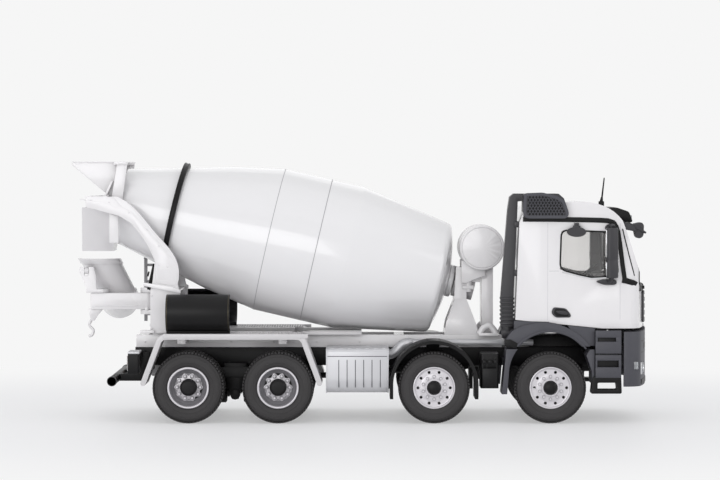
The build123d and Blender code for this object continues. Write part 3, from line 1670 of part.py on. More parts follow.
def make_grille():
    """The dark front panel below the windscreen, with its slats."""
    panel = cab_block(-0.6)
    skin = cab_block(-0.02)
    with BuildPart() as grille:
        add(panel)
        add(skin, mode=Mode.SUBTRACT)
        with BuildSketch(Plane.YZ.offset(80.0)):
            with Locations((0, 34.8)):
                RectangleRounded(30.0, 9.6, 1.2)
            for index in range(4):
                with Locations((0, 31.6 + index * 2.1)):
                    Rectangle(26.0, 0.9, mode=Mode.SUBTRACT)
        extrude(amount=12, mode=Mode.INTERSECT)
    grille.part.label = "front_grille"
    export_step(grille.part, "parts/front_grille.step")


def make_roof_trim():
    """The sun visor over the windscreen, the roof's lamp box and the aerial."""
    with BuildPart() as trim:
        with BuildSketch(Plane.XZ.offset(-19.0)):
            Polygon((80.2, 60.2), (81.2, 60.4), (86.8, 57.6), (86.4, 57.0), (81.0, 59.0), align=None)
        extrude(amount=38.0)
        with BuildSketch(Plane.XZ.offset(-6.0)):
            Polygon((76.6, 66.0), (82.4, 62.8), (82.6, 60.0), (80.6, 61.0), (76.0, 65.2), align=None)
        extrude(amount=12.0)
        with BuildSketch(Plane.XY.offset(65.0)):
            with Locations((76.0, 12.0)):
                Circle(0.9)
        extrude(amount=1.4)
        with BuildSketch(Plane.XY.offset(66.0)):
            with Locations((76.0, 12.0)):
                Circle(0.35)
        extrude(amount=8.0)
        add(cab_block(0.0), mode=Mode.SUBTRACT)
    trim.part.label = "roof_trim"
    export_step(trim.part, "parts/roof_trim.step")


def make_mirrors():
    """The mirror housings on their arms ahead of each door."""
    with BuildPart() as mirrors:
        for side in ends:
            with BuildSketch(Plane.XY.offset(43.6)):
                with Locations((76.6, side * (cab_half_width + 4.2))):
                    RectangleRounded(2.6, 4.2, 0.9)
            extrude(amount=15.4)
            with BuildSketch(Plane.XY.offset(41.8)):
                with Locations((75.4, side * (cab_half_width + 2.2))):
                    Rectangle(5.4, 4.3)
            extrude(amount=1.8)
            with BuildSketch(Plane.XY.offset(57.6)):
                with Locations((77.4, side * (cab_half_width + 1.8))):
                    Rectangle(2.0, 3.5)
            extrude(amount=1.4)
    mirrors.part.label = "mirrors"
    export_step(mirrors.part, "parts/mirrors.step")


def make_air_intake():
    """The raised air intake at the cab's right rear corner: pod, duct and bellows."""
    duct_inner_y = 15.4
    duct_width = 5.2
    pod_inner_y = 15.0
    pod_outer_y = cab_half_width + 1.8
    rear = cab_rear_x
    top = cab_top_z + 2.7
    with BuildPart() as intake:
        with BuildSketch(Plane.XZ.offset(duct_inner_y)):
            Polygon(
                (rear - 4.0, 29.0),
                (rear - 0.6, 29.0),
                (rear - 0.4, 38.0),
                (rear + 0.6, 61.0),
                (rear + 0.8, top - 2.4),
                (rear + 2.6, top - 2.2),
                (rear + 2.6, top),
                (rear - 0.4, top),
                (rear - 1.6, top - 1.0),
                (rear - 2.2, 64.2),
                (rear - 4.2, 38.0),
                align=None,
            )
        extrude(amount=duct_width)
        with BuildSketch(Plane.XZ.offset(pod_inner_y)) as pod:
            Polygon(
                (rear + 2.3, 62.0),
                (rear + 2.3, top),
                (rear + 12.8, top),
                (rear + 14.4, top - 1.4),
                (rear + 15.8, 63.8),
                (rear + 14.8, 62.0),
                align=None,
            )
            fillet(pod.vertices(), radius=0.6)
        extrude(amount=pod_outer_y - pod_inner_y)
        add(cab_block(-0.1), mode=Mode.SUBTRACT)
    intake.part.label = "air_intake"
    export_step(intake.part, "parts/air_intake.step")


def make_cab_fittings():
    """The door handles and the wipers."""
    with BuildPart() as fittings:
        for side in ends:
            with BuildSketch(Plane.XZ.offset(-side * cab_half_width)):
                with Locations((60.6, 33.6)):
                    SlotOverall(6.0, 2.2)
            extrude(amount=-side * 0.7)
    fittings.part.label = "cab_fittings"
    export_step(fittings.part, "parts/cab_fittings.step")


def main():
    """Build every piece and write it to parts."""
    os.makedirs("parts", exist_ok=True)
    for number, axle_x in ((1, axle_1_x), (2, axle_2_x)):
        make_tie_rod(number, axle_x)
        for side in ends:
            make_front_tyre(number, axle_x, side)
            make_front_rim(number, axle_x, side)
            make_knuckle(number, axle_x, side)
    for number, axle_x in ((3, axle_3_x), (4, axle_4_x)):
        make_rear_tyres(number, axle_x)
        make_rear_rims(number, axle_x)
    make_front_beams()
    make_springs()
    make_rear_axles()
    make_frame_rails()
    make_subframe()
    make_rear_fenders()
    make_second_axle_fenders()
    make_cab_fender_lower()
    make_cab_fender_upper()
    make_underrun_guard()
    make_tail_lamps()
    make_exhaust_box()
    make_exhaust_pipe()
    make_fuel_tank()
    make_valve_unit()
    make_engine_block()
    make_bumper()
    make_steps()
    make_drum()
    make_drum_ring()
    make_gearbox()
    make_front_stand()
    make_rear_stand()
    make_rollers()
    make_hopper()
    make_funnel()
    make_ladder()
    make_spare_chutes()
    make_water_tank()
    make_chute_arm()
    make_crank_jack()
    make_chute_post()
    make_chute()
    make_cab_shell()
    make_glazing()
    make_interior()
    make_grille()
    make_roof_trim()
    make_mirrors()
    make_air_intake()
    make_cab_fittings()


if __name__ == "__main__":
    main()
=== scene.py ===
"""Looks of a 1:50 die-cast concrete mixer truck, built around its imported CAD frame.

Sizes in the classes are millimetres of the model, and MM turns them into the scene's metres.
Forward is +X, left is +Y and up is +Z, with the origin on the ground.
"""

from __future__ import annotations

import logging
import math
from collections.abc import Callable, Sequence
from dataclasses import dataclass, field
from enum import Enum

import bmesh
import bpy
from mathutils import Matrix, Vector
from mathutils.bvhtree import BVHTree

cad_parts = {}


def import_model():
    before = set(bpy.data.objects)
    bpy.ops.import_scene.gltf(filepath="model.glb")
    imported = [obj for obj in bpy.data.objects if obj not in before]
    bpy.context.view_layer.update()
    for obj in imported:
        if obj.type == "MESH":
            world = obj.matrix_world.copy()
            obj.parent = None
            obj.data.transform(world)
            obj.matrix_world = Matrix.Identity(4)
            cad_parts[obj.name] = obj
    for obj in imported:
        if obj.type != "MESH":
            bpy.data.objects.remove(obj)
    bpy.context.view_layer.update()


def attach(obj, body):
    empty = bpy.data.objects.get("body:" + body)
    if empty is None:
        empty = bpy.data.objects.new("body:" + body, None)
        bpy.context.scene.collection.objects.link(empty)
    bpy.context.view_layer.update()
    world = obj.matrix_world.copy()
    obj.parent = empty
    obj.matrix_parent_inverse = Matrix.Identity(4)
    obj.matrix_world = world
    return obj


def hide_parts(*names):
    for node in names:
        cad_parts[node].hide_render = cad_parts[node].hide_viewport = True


LOG = logging.getLogger("mixer")
MM = 0.001
FULL_TURN = 2 * math.pi
# Places of the four axles along the truck, from the front
AXLES_X = (57.3, 22.3, -24.7, -51.7)
Flat = tuple[float, float]
Place = tuple[float, float, float]
FaceRule = Callable[[Vector], int]
# A small shape's middle, the way it faces and the way its width lies
Setting = tuple[Place, Place, Place]


class Side(Enum):
    """The truck's two sides, with the sign of Y."""

    RIGHT = -1
    LEFT = 1

    @property
    def word(self) -> str:
        """The side's name in the CAD nodes."""
        return self.name.lower()


class Relief(Enum):
    """How a surface was made, which gives its fine relief."""

    SMOOTH = "smooth"
    SPRAYED = "sprayed"
    MOULDED = "moulded"
    CAST = "cast"


def linear(code: str, alpha: float = 1.0) -> tuple[float, float, float, float]:
    """Turn an sRGB hex colour into linear values.

    Args:
        code: The colour as six hex digits after a hash.
        alpha: The fourth value.

    Returns:
        Linear red, green, blue and alpha.
    """
    parts = [int(code[i : i + 2], 16) / 255 for i in (1, 3, 5)]
    r, g, b = (c / 12.92 if c <= 0.04045 else ((c + 0.055) / 1.055) ** 2.4 for c in parts)
    return r, g, b, alpha


def add_node(
    tree: bpy.types.NodeTree, kind: str, inputs: dict | None = None, **settings: object
) -> bpy.types.Node:
    """Add one node to a tree.

    Args:
        tree: The tree that gets the node.
        kind: Class name of the node.
        inputs: Values or output sockets for the node's inputs, by name or number.
        settings: Attributes of the node.

    Returns:
        The new node.
    """
    node = tree.nodes.new(kind)
    for name, value in settings.items():
        setattr(node, name, value)
    for key, value in (inputs or {}).items():
        if isinstance(value, bpy.types.NodeSocket):
            tree.links.new(value, node.inputs[key])
        else:
            node.inputs[key].default_value = value
    return node


def fresh_tree(owner: bpy.types.Material | bpy.types.World) -> bpy.types.NodeTree:
    """Give a material or a world an empty tree of nodes."""
    owner.use_nodes = True
    owner.node_tree.nodes.clear()
    return owner.node_tree


def linked(name: str, data: bpy.types.ID) -> bpy.types.Object:
    """Put an object with this data into the scene."""
    made = bpy.data.objects.new(name, data)
    bpy.context.scene.collection.objects.link(made)
    return made


@dataclass(frozen=True)
class Finish:
    """A finish: the real material, how its surface was made, and what the eye sees of it.

    Args:
        name: Name of the material.
        slot: The record's slot that a piece takes this finish from.
        shade: sRGB hex colour.
        roughness: Roughness of the surface.
        metallic: 1 for bare metal.
        ior: Index of refraction of plastics and paints.
        coat: Strength of the clear layer on top.
        relief: How the surface was made.
        mottle: Share by which the colour varies over a few millimetres.
        dust: Share by which an occlusion node darkens the hollows: painted shade, with the dark wash that
            settles there on a model.
        specular: Level of the mirrored light, lower for oily blacks.
    """

    name: str
    slot: str
    shade: str
    roughness: float
    metallic: float = 0.0
    ior: float = 1.5
    coat: float = 0.0
    relief: Relief = Relief.SPRAYED
    mottle: float = 0.02
    dust: float = 0.0
    specular: float = 0.5

    # Width of the clouds over which the colour and the shine vary, in millimetres
    cloud_width = 9.0
    # Width of the relief's waves and their height, in millimetres, for each way of making
    waves = {
        Relief.SMOOTH: (6.0, 0.002),
        Relief.SPRAYED: (1.1, 0.003),
        Relief.MOULDED: (0.16, 0.006),
        Relief.CAST: (0.5, 0.012),
    }

    def material(self) -> bpy.types.Material:
        """Make the material, or find it if it is there already.

        Returns:
            The material with its nodes.
        """
        found = bpy.data.materials.get(self.name)
        if found:
            return found
        made = bpy.data.materials.new(self.name)
        tree = fresh_tree(made)
        spot = add_node(tree, "ShaderNodeTexCoord").outputs["Object"]
        width, height = self.waves[self.relief]
        grain = add_node(tree, "ShaderNodeTexNoise",
                         {"Vector": spot, "Scale": 1 / (width * MM), "Detail": 3.0})
        cloud = add_node(tree, "ShaderNodeTexNoise",
                         {"Vector": spot, "Scale": 1 / (self.cloud_width * MM), "Detail": 4.0})
        shine = add_node(
            tree,
            "ShaderNodeMapRange",
            {"Value": cloud.outputs["Fac"], "To Min": self.roughness * 0.86, "To Max": self.roughness * 1.14},
        )
        bump = add_node(tree, "ShaderNodeBump",
                        {"Height": grain.outputs["Fac"], "Distance": height * MM, "Strength": 1.0})
        tint = add_node(
            tree,
            "ShaderNodeMix",
            {
                "Factor": cloud.outputs["Fac"],
                "A": linear(self.shade),
                "B": tuple(c * (1 - 2 * self.mottle) for c in linear(self.shade)[:3]) + (1.0,),
            },
            data_type="RGBA",
        )
        base = self.worn(tree, tint.outputs["Result"])
        shader = add_node(
            tree,
            "ShaderNodeBsdfPrincipled",
            {
                "Base Color": base,
                "Roughness": shine.outputs["Result"],
                "Specular IOR Level": self.specular,
                "Metallic": self.metallic,
                "Normal": bump.outputs["Normal"],
                "Coat Weight": self.coat,
                "Coat Roughness": 0.06,
            },
        )
        if self.metallic < 1:
            shader.inputs["IOR"].default_value = self.ior
        self.extra(shader)
        add_node(tree, "ShaderNodeOutputMaterial", {"Surface": shader.outputs["BSDF"]})
        return made

    def worn(self, tree: bpy.types.NodeTree, shade: bpy.types.NodeSocket) -> bpy.types.NodeSocket:
        """Darken the hollows with an occlusion node: painted shade in the creases, with the dark wash that
        gathers there on a model.

        Args:
            tree: The material's tree.
            shade: The colour before.

        Returns:
            The colour after.
        """
        if not self.dust:
            return shade
        # Painted shade: the occlusion node darkens the colour in creases, recesses and between parts.
        hollow = add_node(tree, "ShaderNodeAmbientOcclusion", {"Distance": 2.5 * MM}, samples=4)
        share = add_node(
            tree,
            "ShaderNodeMapRange",
            {"Value": hollow.outputs["AO"], "From Min": 0.2, "From Max": 0.9, "To Min": 1 - self.dust,
             "To Max": 1.0},
        )
        mixed = add_node(
            tree,
            "ShaderNodeMix",
            {"Factor": 1.0, "A": shade, "B": share.outputs["Result"]},
            data_type="RGBA",
            blend_type="MULTIPLY",
        )
        return mixed.outputs["Result"]

    def extra(self, shader: bpy.types.Node) -> None:
        """Set what only some finishes have, which is nothing for an opaque one."""


@dataclass(frozen=True)
class ClearPlastic(Finish):
    """Clear moulded polystyrene, which lets light through.

    Args:
        clear: Share of the light that goes through.
    """

    clear: float = 0.9

    def extra(self, shader: bpy.types.Node) -> None:
        """Let light through."""
        shader.inputs["Transmission Weight"].default_value = self.clear


# White enamel sprayed on zinc: bright, with a wet shine and a faint orange peel
WHITE = Finish("white_enamel", "white_paint", "#E6E4E5", 0.26, ior=1.52, coat=0.55, mottle=0.006, dust=0.22)
# The same enamel on the moulded drum halves, polished a little more
DRUM_WHITE = Finish("drum_enamel", "drum_paint", "#E5E4E5", 0.22, ior=1.52, coat=0.7, mottle=0.006, dust=0.12)
# Pale grey satin enamel of the mudguards and the walkway
PALE = Finish("pale_grey_enamel", "grey_paint", "#CFCDCE", 0.38, mottle=0.012, dust=0.3)
# Black enamel on the cast chassis: satin, with the casting's grain under it
CHASSIS = Finish("chassis_enamel", "black_paint", "#0C0B0D", 0.44, relief=Relief.CAST, mottle=0.1, dust=0.3,
                 specular=0.2)
# Black ABS, moulded in a lightly polished tool
BLACK = Finish("black_abs", "black_plastic", "#0B0A0C", 0.42, relief=Relief.MOULDED, mottle=0.08, dust=0.2,
               specular=0.25)
# Slate-grey ABS, moulded in a spark-eroded tool, which makes it matt
SLATE = Finish("slate_abs", "slate_plastic", "#43434A", 0.5, relief=Relief.MOULDED, mottle=0.05, dust=0.35)
# The darker grey of the intake, mirrors and pillars
DARK = Finish("dark_abs", "slate_plastic", "#302F33", 0.44, relief=Relief.MOULDED, mottle=0.06, dust=0.3)
# Silver paint on ABS: fine flakes under a thin binder
SILVER = Finish("silver_paint", "silver_plastic", "#C9C9CC", 0.36, metallic=0.35, mottle=0.02, dust=0.35)
# Silver paint of the rims, brighter, since it is newer and thicker
RIM = Finish("rim_silver_paint", "rim_silver", "#D3D0D4", 0.33, metallic=0.35, mottle=0.02, dust=0.35)
# The dished part of the rear rims, in a darker silver
DISH = Finish("dish_silver_paint", "rim_silver", "#A19FA3", 0.4, metallic=0.4, mottle=0.03, dust=0.35)
# Soft PVC of the tyres: matt and dark, never quite black
RUBBER = Finish("soft_pvc", "tyre_rubber", "#2D2B2C", 0.66, ior=1.52, relief=Relief.MOULDED, mottle=0.08,
                dust=0.25)
# Turned steel of the pins
STEEL = Finish("turned_steel", "rim_silver", "#A9A8A6", 0.28, metallic=1.0, relief=Relief.SMOOTH)
# Vacuum-metallised mirror faces and reflectors
MIRROR = Finish("metallised_film", "rim_silver", "#D9DADC", 0.06, metallic=1.0, relief=Relief.SMOOTH)
# Clear polystyrene windows, faintly grey in their thickness
GLASS = ClearPlastic("clear_styrene", "clear_plastic", "#F3F2F1", 0.03, ior=1.49, relief=Relief.SMOOTH,
                     clear=0.96)
# Lamp lenses in clear, amber and red styrene
LENS = ClearPlastic("clear_lens", "clear_plastic", "#E6E9EC", 0.08, ior=1.49, relief=Relief.SMOOTH, clear=0.7)
AMBER = ClearPlastic("amber_lens", "clear_plastic", "#F08A1E", 0.12, ior=1.49, relief=Relief.SMOOTH,
                     clear=0.35)
RED = ClearPlastic("red_lens", "clear_plastic", "#B5161C", 0.12, ior=1.49, relief=Relief.SMOOTH, clear=0.3)
# Shut lines between painted panels: the same enamel in deep shade
SEAM = Finish("shut_line", "white_paint", "#A09EA2", 0.6, mottle=0.02)
# Fine shut lines of the doors, half filled with the enamel
FAINT = Finish("door_line", "white_paint", "#BDBBBF", 0.5, mottle=0.02)
# Grey enamel of the ladder
GREY = Finish("mid_grey_enamel", "grey_paint", "#9A999C", 0.4, mottle=0.02, dust=0.2)
# Brassy paint on the spare chutes' edges
BRASS = Finish("brass_paint", "black_paint", "#4A4436", 0.35, metallic=0.6, mottle=0.04)
# Seat cloth, printed dark grey on the moulded seats
SEAT = Finish("seat_grey", "black_plastic", "#2B2A2E", 0.7, relief=Relief.MOULDED, mottle=0.1)


def bare_copy(node: str) -> bmesh.types.BMesh:
    """Copy a CAD node's mesh and join its loose triangles.

    Args:
        node: Name of the CAD node.

    Returns:
        The joined copy, in metres.
    """
    mesh = bmesh.new()
    mesh.from_mesh(bpy.data.objects[node].data)
    bmesh.ops.remove_doubles(mesh, verts=mesh.verts, dist=0.001 * MM)
    bmesh.ops.dissolve_limit(mesh, angle_limit=math.radians(0.3), verts=mesh.verts, edges=mesh.edges)
    return mesh


def baked(piece: bpy.types.Object, crease: float = 32.0) -> bpy.types.Object:
    """Turn a piece's modifiers into plain mesh and smooth it up to an angle.

    Args:
        piece: The piece with its modifiers.
        crease: Edges sharper than this many degrees stay sharp.

    Returns:
        The same piece.
    """
    graph = bpy.context.evaluated_depsgraph_get()
    mesh = bpy.data.meshes.new_from_object(piece.evaluated_get(graph), depsgraph=graph)
    piece.modifiers.clear()
    piece.data = mesh
    mesh.shade_smooth()
    mesh.set_sharp_from_angle(angle=math.radians(crease))
    return piece


def made_piece(
    name: str, mesh: bmesh.types.BMesh, finishes: Sequence[Finish], bevel: float = 0.0, segments: int = 2
) -> bpy.types.Object:
    """Make an object from a mesh in metres.

    Args:
        name: Name of the piece.
        mesh: The mesh, which is freed.
        finishes: Its finishes, by material index.
        bevel: Width of its rounded edges, in millimetres.
        segments: Faces across each rounded edge.

    Returns:
        The piece, at the origin.
    """
    data = bpy.data.meshes.new(name)
    mesh.to_mesh(data)
    mesh.free()
    for finish in finishes:
        data.materials.append(finish.material())
    piece = linked(name, data)
    if bevel:
        edge = piece.modifiers.new("edges", "BEVEL")
        edge.width = bevel * MM
        edge.segments = segments
        edge.limit_method = "ANGLE"
        edge.angle_limit = math.radians(30)
        edge.use_clamp_overlap = True
    return baked(piece)


def ride(piece: bpy.types.Object, body: str, slot: str, *nodes: str) -> bpy.types.Object:
    """Let a piece ride on a body and stand for CAD nodes.

    Args:
        piece: The piece.
        body: Name of the CAD body.
        slot: The record's slot, which is not used.
        nodes: CAD nodes that the piece replaces.

    Returns:
        The piece.
    """
    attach(piece, body)
    if nodes:
        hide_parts(*nodes)
    LOG.info("%s on %s, %d faces", piece.name, body, len(piece.data.polygons))
    return piece


def softened(
    node: str, body: str, finishes: Sequence[Finish], bevel: float = 0.14, rule: FaceRule | None = None,
    segments: int = 2
) -> bpy.types.Object:
    """Replace a CAD node by a copy with rounded edges.

    Args:
        node: Name of the CAD node.
        body: The body that carries it.
        finishes: The copy's finishes.
        bevel: Width of the rounded edges, in millimetres.
        rule: Gives the number of the finish for a face's middle, in millimetres.
        segments: Faces across each rounded edge.

    Returns:
        The copy.
    """
    mesh = bare_copy(node)
    for face in mesh.faces:
        face.material_index = rule(face.calc_center_median() / MM) if rule else 0
    piece = made_piece(f"{node}_dressed", mesh, finishes, bevel, segments)
    return ride(piece, body, finishes[0].slot, node)


class Form:
    """A mesh that is being made in millimetres."""

    def __init__(self) -> None:
        """Start empty."""
        self.mesh = bmesh.new()
        self.finish = 0

    def faces(self, points: Sequence[Sequence[float]], loops: Sequence[Sequence[int]]) -> None:
        """Add faces.

        Args:
            points: The corners.
            loops: The faces, as numbers of corners.
        """
        verts = [self.mesh.verts.new(p) for p in points]
        for loop in loops:
            face = self.mesh.faces.new([verts[i] for i in loop])
            face.material_index = self.finish

    def block(self, one: Place, other: Place) -> None:
        """Add a block between two opposite corners."""
        (x0, x1), (y0, y1), (z0, z1) = (sorted(pair) for pair in zip(one, other))
        points = [(x, y, z) for z in (z0, z1) for x, y in ((x0, y0), (x1, y0), (x1, y1), (x0, y1))]
        self.faces(points, [(3, 2, 1, 0), (4, 5, 6, 7), (0, 1, 5, 4), (1, 2, 6, 5), (2, 3, 7, 6),
                            (3, 0, 4, 7)])

    def loft(
        self, rings: Sequence[Sequence[Sequence[float]]], ends: bool = True, around: bool = True
    ) -> None:
        """Add a skin over rings of equal count.

        Args:
            rings: The rings, in order.
            ends: Whether the first and last ring are closed by a face.
            around: Whether each ring closes on itself.
        """
        count = len(rings[0])
        points = [p for ring in rings for p in ring]
        loops = []
        for r in range(len(rings) - 1):
            for k in range(count if around else count - 1):
                a, b = r * count + k, r * count + (k + 1) % count
                loops.append((a, b, b + count, a + count))
        if ends:
            loops.append(tuple(reversed(range(count))))
            loops.append(tuple(range(len(points) - count, len(points))))
        self.faces(points, loops)

    def prism(self, outline: Sequence[Flat], start: float, end: float, axis: str = "Y") -> None:
        """Add a prism of an outline along an axis.

        Args:
            outline: Corners, in the two other axes' order.
            start: Where it starts on the axis.
            end: Where it ends.
            axis: X, Y or Z.
        """

        def spot(u: float, v: float, w: float) -> Place:
            return {"X": (w, u, v), "Y": (u, w, v), "Z": (u, v, w)}[axis]

        self.loft([[spot(u, v, w) for u, v in outline] for w in (start, end)])

    def lathe(
        self, profile: Sequence[Flat], centre: Place, axis: Sequence[float], steps: int = 64,
        closed: bool = True
    ) -> None:
        """Add a turned shape.

        Args:
            profile: Points as distance along the axis and radius.
            centre: Where the axis starts.
            axis: Its direction.
            steps: Faces around.
            closed: Whether the profile closes on itself.
        """
        turn = Vector((0, 0, 1)).rotation_difference(Vector(axis).normalized()).to_matrix()
        rings = []
        for step in range(steps):
            angle = FULL_TURN * step / steps
            rings.append(
                [Vector(centre) + turn @ Vector((r * math.cos(angle), r * math.sin(angle), t)) for t,
                 r in profile]
            )
        self.loft([*rings, rings[0]], ends=False, around=closed)
        bmesh.ops.remove_doubles(self.mesh, verts=self.mesh.verts, dist=1e-4)

    def rod(
        self, start: Sequence[float], end: Sequence[float], radius: float, steps: int = 20,
        tip: float | None = None
    ) -> None:
        """Add a round rod, or a cone with another radius at its tip."""
        way = Vector(end) - Vector(start)
        last = radius if tip is None else tip
        self.lathe([(0, 0), (0, radius), (way.length, last), (way.length, 0)], tuple(start), way, steps,
                   closed=False)

    def pipe(self, path: Sequence[Sequence[float]], radius: float, sides: int = 12, smooth: int = 6) -> None:
        """Add a round pipe along a smooth path through the points.

        Args:
            path: Points that the pipe goes through.
            radius: Its radius.
            sides: Faces around.
            smooth: Steps between two points.
        """
        points = rounded_path([Vector(p) for p in path], smooth)
        rings = []
        side = None
        for i, point in enumerate(points):
            way = (points[min(i + 1, len(points) - 1)] - points[max(i - 1, 0)]).normalized()
            if side is None:
                side = way.orthogonal().normalized()
            side = (side - way * side.dot(way)).normalized()
            other = way.cross(side)
            angles = [FULL_TURN * k / sides for k in range(sides)]
            rings.append([point + radius * (math.cos(a) * side + math.sin(a) * other) for a in angles])
        self.loft(rings)

    def piece(
        self, name: str, finishes: Sequence[Finish], bevel: float = 0.0, segments: int = 2
    ) -> bpy.types.Object:
        """Make the object from the mesh.

        Args:
            name: Name of the piece.
            finishes: Its finishes, by material index.
            bevel: Width of its rounded edges.
            segments: Faces across each rounded edge.

        Returns:
            The piece.
        """
        bmesh.ops.recalc_face_normals(self.mesh, faces=self.mesh.faces)
        bmesh.ops.scale(self.mesh, vec=(MM, MM, MM), verts=self.mesh.verts)
        return made_piece(name, self.mesh, finishes, bevel, segments)

    def lay(
        self,
        name: str,
        body: str,
        *finishes: Finish,
        bevel: float = 0.0,
        segments: int = 2,
        slot: str = "",
        nodes: Sequence[str] = (),
    ) -> bpy.types.Object:
        """Make the object from the mesh and let it ride on a body.

        Args:
            name: Name of the piece.
            body: The body that carries it.
            finishes: Its finishes, by material index.
            bevel: Width of its rounded edges.
            segments: Faces across each rounded edge.
            slot: The record's slot, if it isn't the first finish's own.
            nodes: CAD nodes that the piece replaces.

        Returns:
            The piece.
        """
        piece = self.piece(name, finishes, bevel, segments)
        return ride(piece, body, slot or finishes[0].slot, *nodes)


def rounded_path(points: Sequence[Vector], steps: int) -> list[Vector]:
    """Put a smooth line through points.

    Args:
        points: The points.
        steps: Steps between two points.

    Returns:
        Points of the smooth line.
    """
    if len(points) < 3 or steps < 2:
        return list(points)
    padded = [2 * points[0] - points[1], *points, 2 * points[-1] - points[-2]]
    line = []
    for i in range(1, len(padded) - 2):
        p0, p1, p2, p3 = padded[i - 1 : i + 3]
        for step in range(steps):
            t = step / steps
            bend = (2 * p0 - 5 * p1 + 4 * p2 - p3) * t**2 + (3 * p1 - p0 - 3 * p2 + p3) * t**3
            line.append(0.5 * (2 * p1 + (p2 - p0) * t + bend))
    return [*line, points[-1]]


class Stamp(Enum):
    """The small shapes that are set many times."""

    BOLT = 6
    DISC = 14
    BLOCK = 4
    DOME = 10


@dataclass
class Repeat:
    """A Geometry Nodes tree that sets one small shape at many places.

    Args:
        stamp: The shape.
        width: Its width across, in millimetres.
        height: Its height over the surface.
        length: Its other width, for blocks.
    """

    stamp: Stamp
    width: float
    height: float
    length: float = 1.0

    def tree(self) -> bpy.types.NodeTree:
        """Build the tree, with its sizes and its material as named inputs.

        Returns:
            The tree.
        """
        tree = bpy.data.node_groups.new(f"repeat_{self.stamp.name.lower()}", "GeometryNodeTree")
        tree.interface.new_socket("Geometry", in_out="INPUT", socket_type="NodeSocketGeometry")
        for word in ("Width", "Height", "Length"):
            tree.interface.new_socket(word, in_out="INPUT", socket_type="NodeSocketFloat")
        tree.interface.new_socket("Material", in_out="INPUT", socket_type="NodeSocketMaterial")
        tree.interface.new_socket("Geometry", in_out="OUTPUT", socket_type="NodeSocketGeometry")
        given = add_node(tree, "NodeGroupInput").outputs
        half = add_node(tree, "ShaderNodeMath", {0: given["Width"], 1: 0.5}, operation="MULTIPLY").outputs[0]
        if self.stamp is Stamp.BLOCK:
            size = add_node(tree, "ShaderNodeCombineXYZ",
                            {0: given["Width"], 1: given["Length"], 2: given["Height"]})
            shape = add_node(tree, "GeometryNodeMeshCube", {"Size": size.outputs[0]}).outputs["Mesh"]
        elif self.stamp is Stamp.DOME:
            ball = add_node(tree, "GeometryNodeMeshUVSphere", {"Segments": 12, "Rings": 6, "Radius": half})
            flat = add_node(tree, "ShaderNodeMath", {0: given["Height"], 1: half}, operation="DIVIDE")
            squash = add_node(tree, "ShaderNodeCombineXYZ", {0: 1.0, 1: 1.0, 2: flat.outputs[0]})
            shape = add_node(
                tree, "GeometryNodeTransform", {"Geometry": ball.outputs["Mesh"], "Scale": squash.outputs[0]}
            ).outputs[0]
        else:
            shape = add_node(
                tree,
                "GeometryNodeMeshCylinder",
                {"Vertices": self.stamp.value, "Radius": half, "Depth": given["Height"]},
            ).outputs["Mesh"]
        facing = add_node(tree, "GeometryNodeInputNamedAttribute", {"Name": "facing"},
                          data_type="FLOAT_VECTOR")
        along = add_node(tree, "GeometryNodeInputNamedAttribute", {"Name": "along"}, data_type="FLOAT_VECTOR")
        up = add_node(tree, "FunctionNodeAlignRotationToVector", {"Vector": facing.outputs[0]}, axis="Z")
        turned = add_node(
            tree,
            "FunctionNodeAlignRotationToVector",
            {"Rotation": up.outputs[0], "Vector": along.outputs[0]},
            axis="X",
            pivot_axis="Z",
        )
        copies = add_node(
            tree,
            "GeometryNodeInstanceOnPoints",
            {"Points": given["Geometry"], "Instance": shape, "Rotation": turned.outputs[0]},
        )
        real = add_node(tree, "GeometryNodeRealizeInstances", {0: copies.outputs[0]})
        dyed = add_node(tree, "GeometryNodeSetMaterial", {0: real.outputs[0], "Material": given["Material"]})
        add_node(tree, "NodeGroupOutput", {0: dyed.outputs[0]})
        return tree

    def at(self, name: str, places: Sequence[Setting], finish: Finish) -> bpy.types.Object:
        """Set the shape at places.

        Args:
            name: Name of the piece.
            places: For each, its middle, the way it faces and the way its width lies.
            finish: Its finish.

        Returns:
            The piece.
        """
        host = bpy.data.meshes.new(name)
        host.from_pydata([Vector(spot) * MM for spot, _, _ in places], [], [])
        for word, index in (("facing", 1), ("along", 2)):
            layer = host.attributes.new(word, "FLOAT_VECTOR", "POINT")
            layer.data.foreach_set("vector", [c for place in places for c in place[index]])
        piece = linked(name, host)
        modifier = piece.modifiers.new("repeat", "NODES")
        modifier.node_group = self.tree()
        values = {
            "Width": self.width * MM,
            "Height": self.height * MM,
            "Length": self.length * MM,
            "Material": finish.material(),
        }
        for socket in modifier.node_group.interface.items_tree:
            if socket.in_out == "INPUT" and socket.name in values:
                modifier[socket.identifier] = values[socket.name]
        return baked(piece)


def joined(name: str, pieces: Sequence[bpy.types.Object]) -> bpy.types.Object:
    """Join pieces into one object.

    Args:
        name: Name of the joined piece.
        pieces: The pieces, all at the origin.

    Returns:
        The joined piece.
    """
    first = pieces[0]
    with bpy.context.temp_override(active_object=first, selected_editable_objects=list(pieces)):
        bpy.ops.object.join()
    first.name = name
    return first


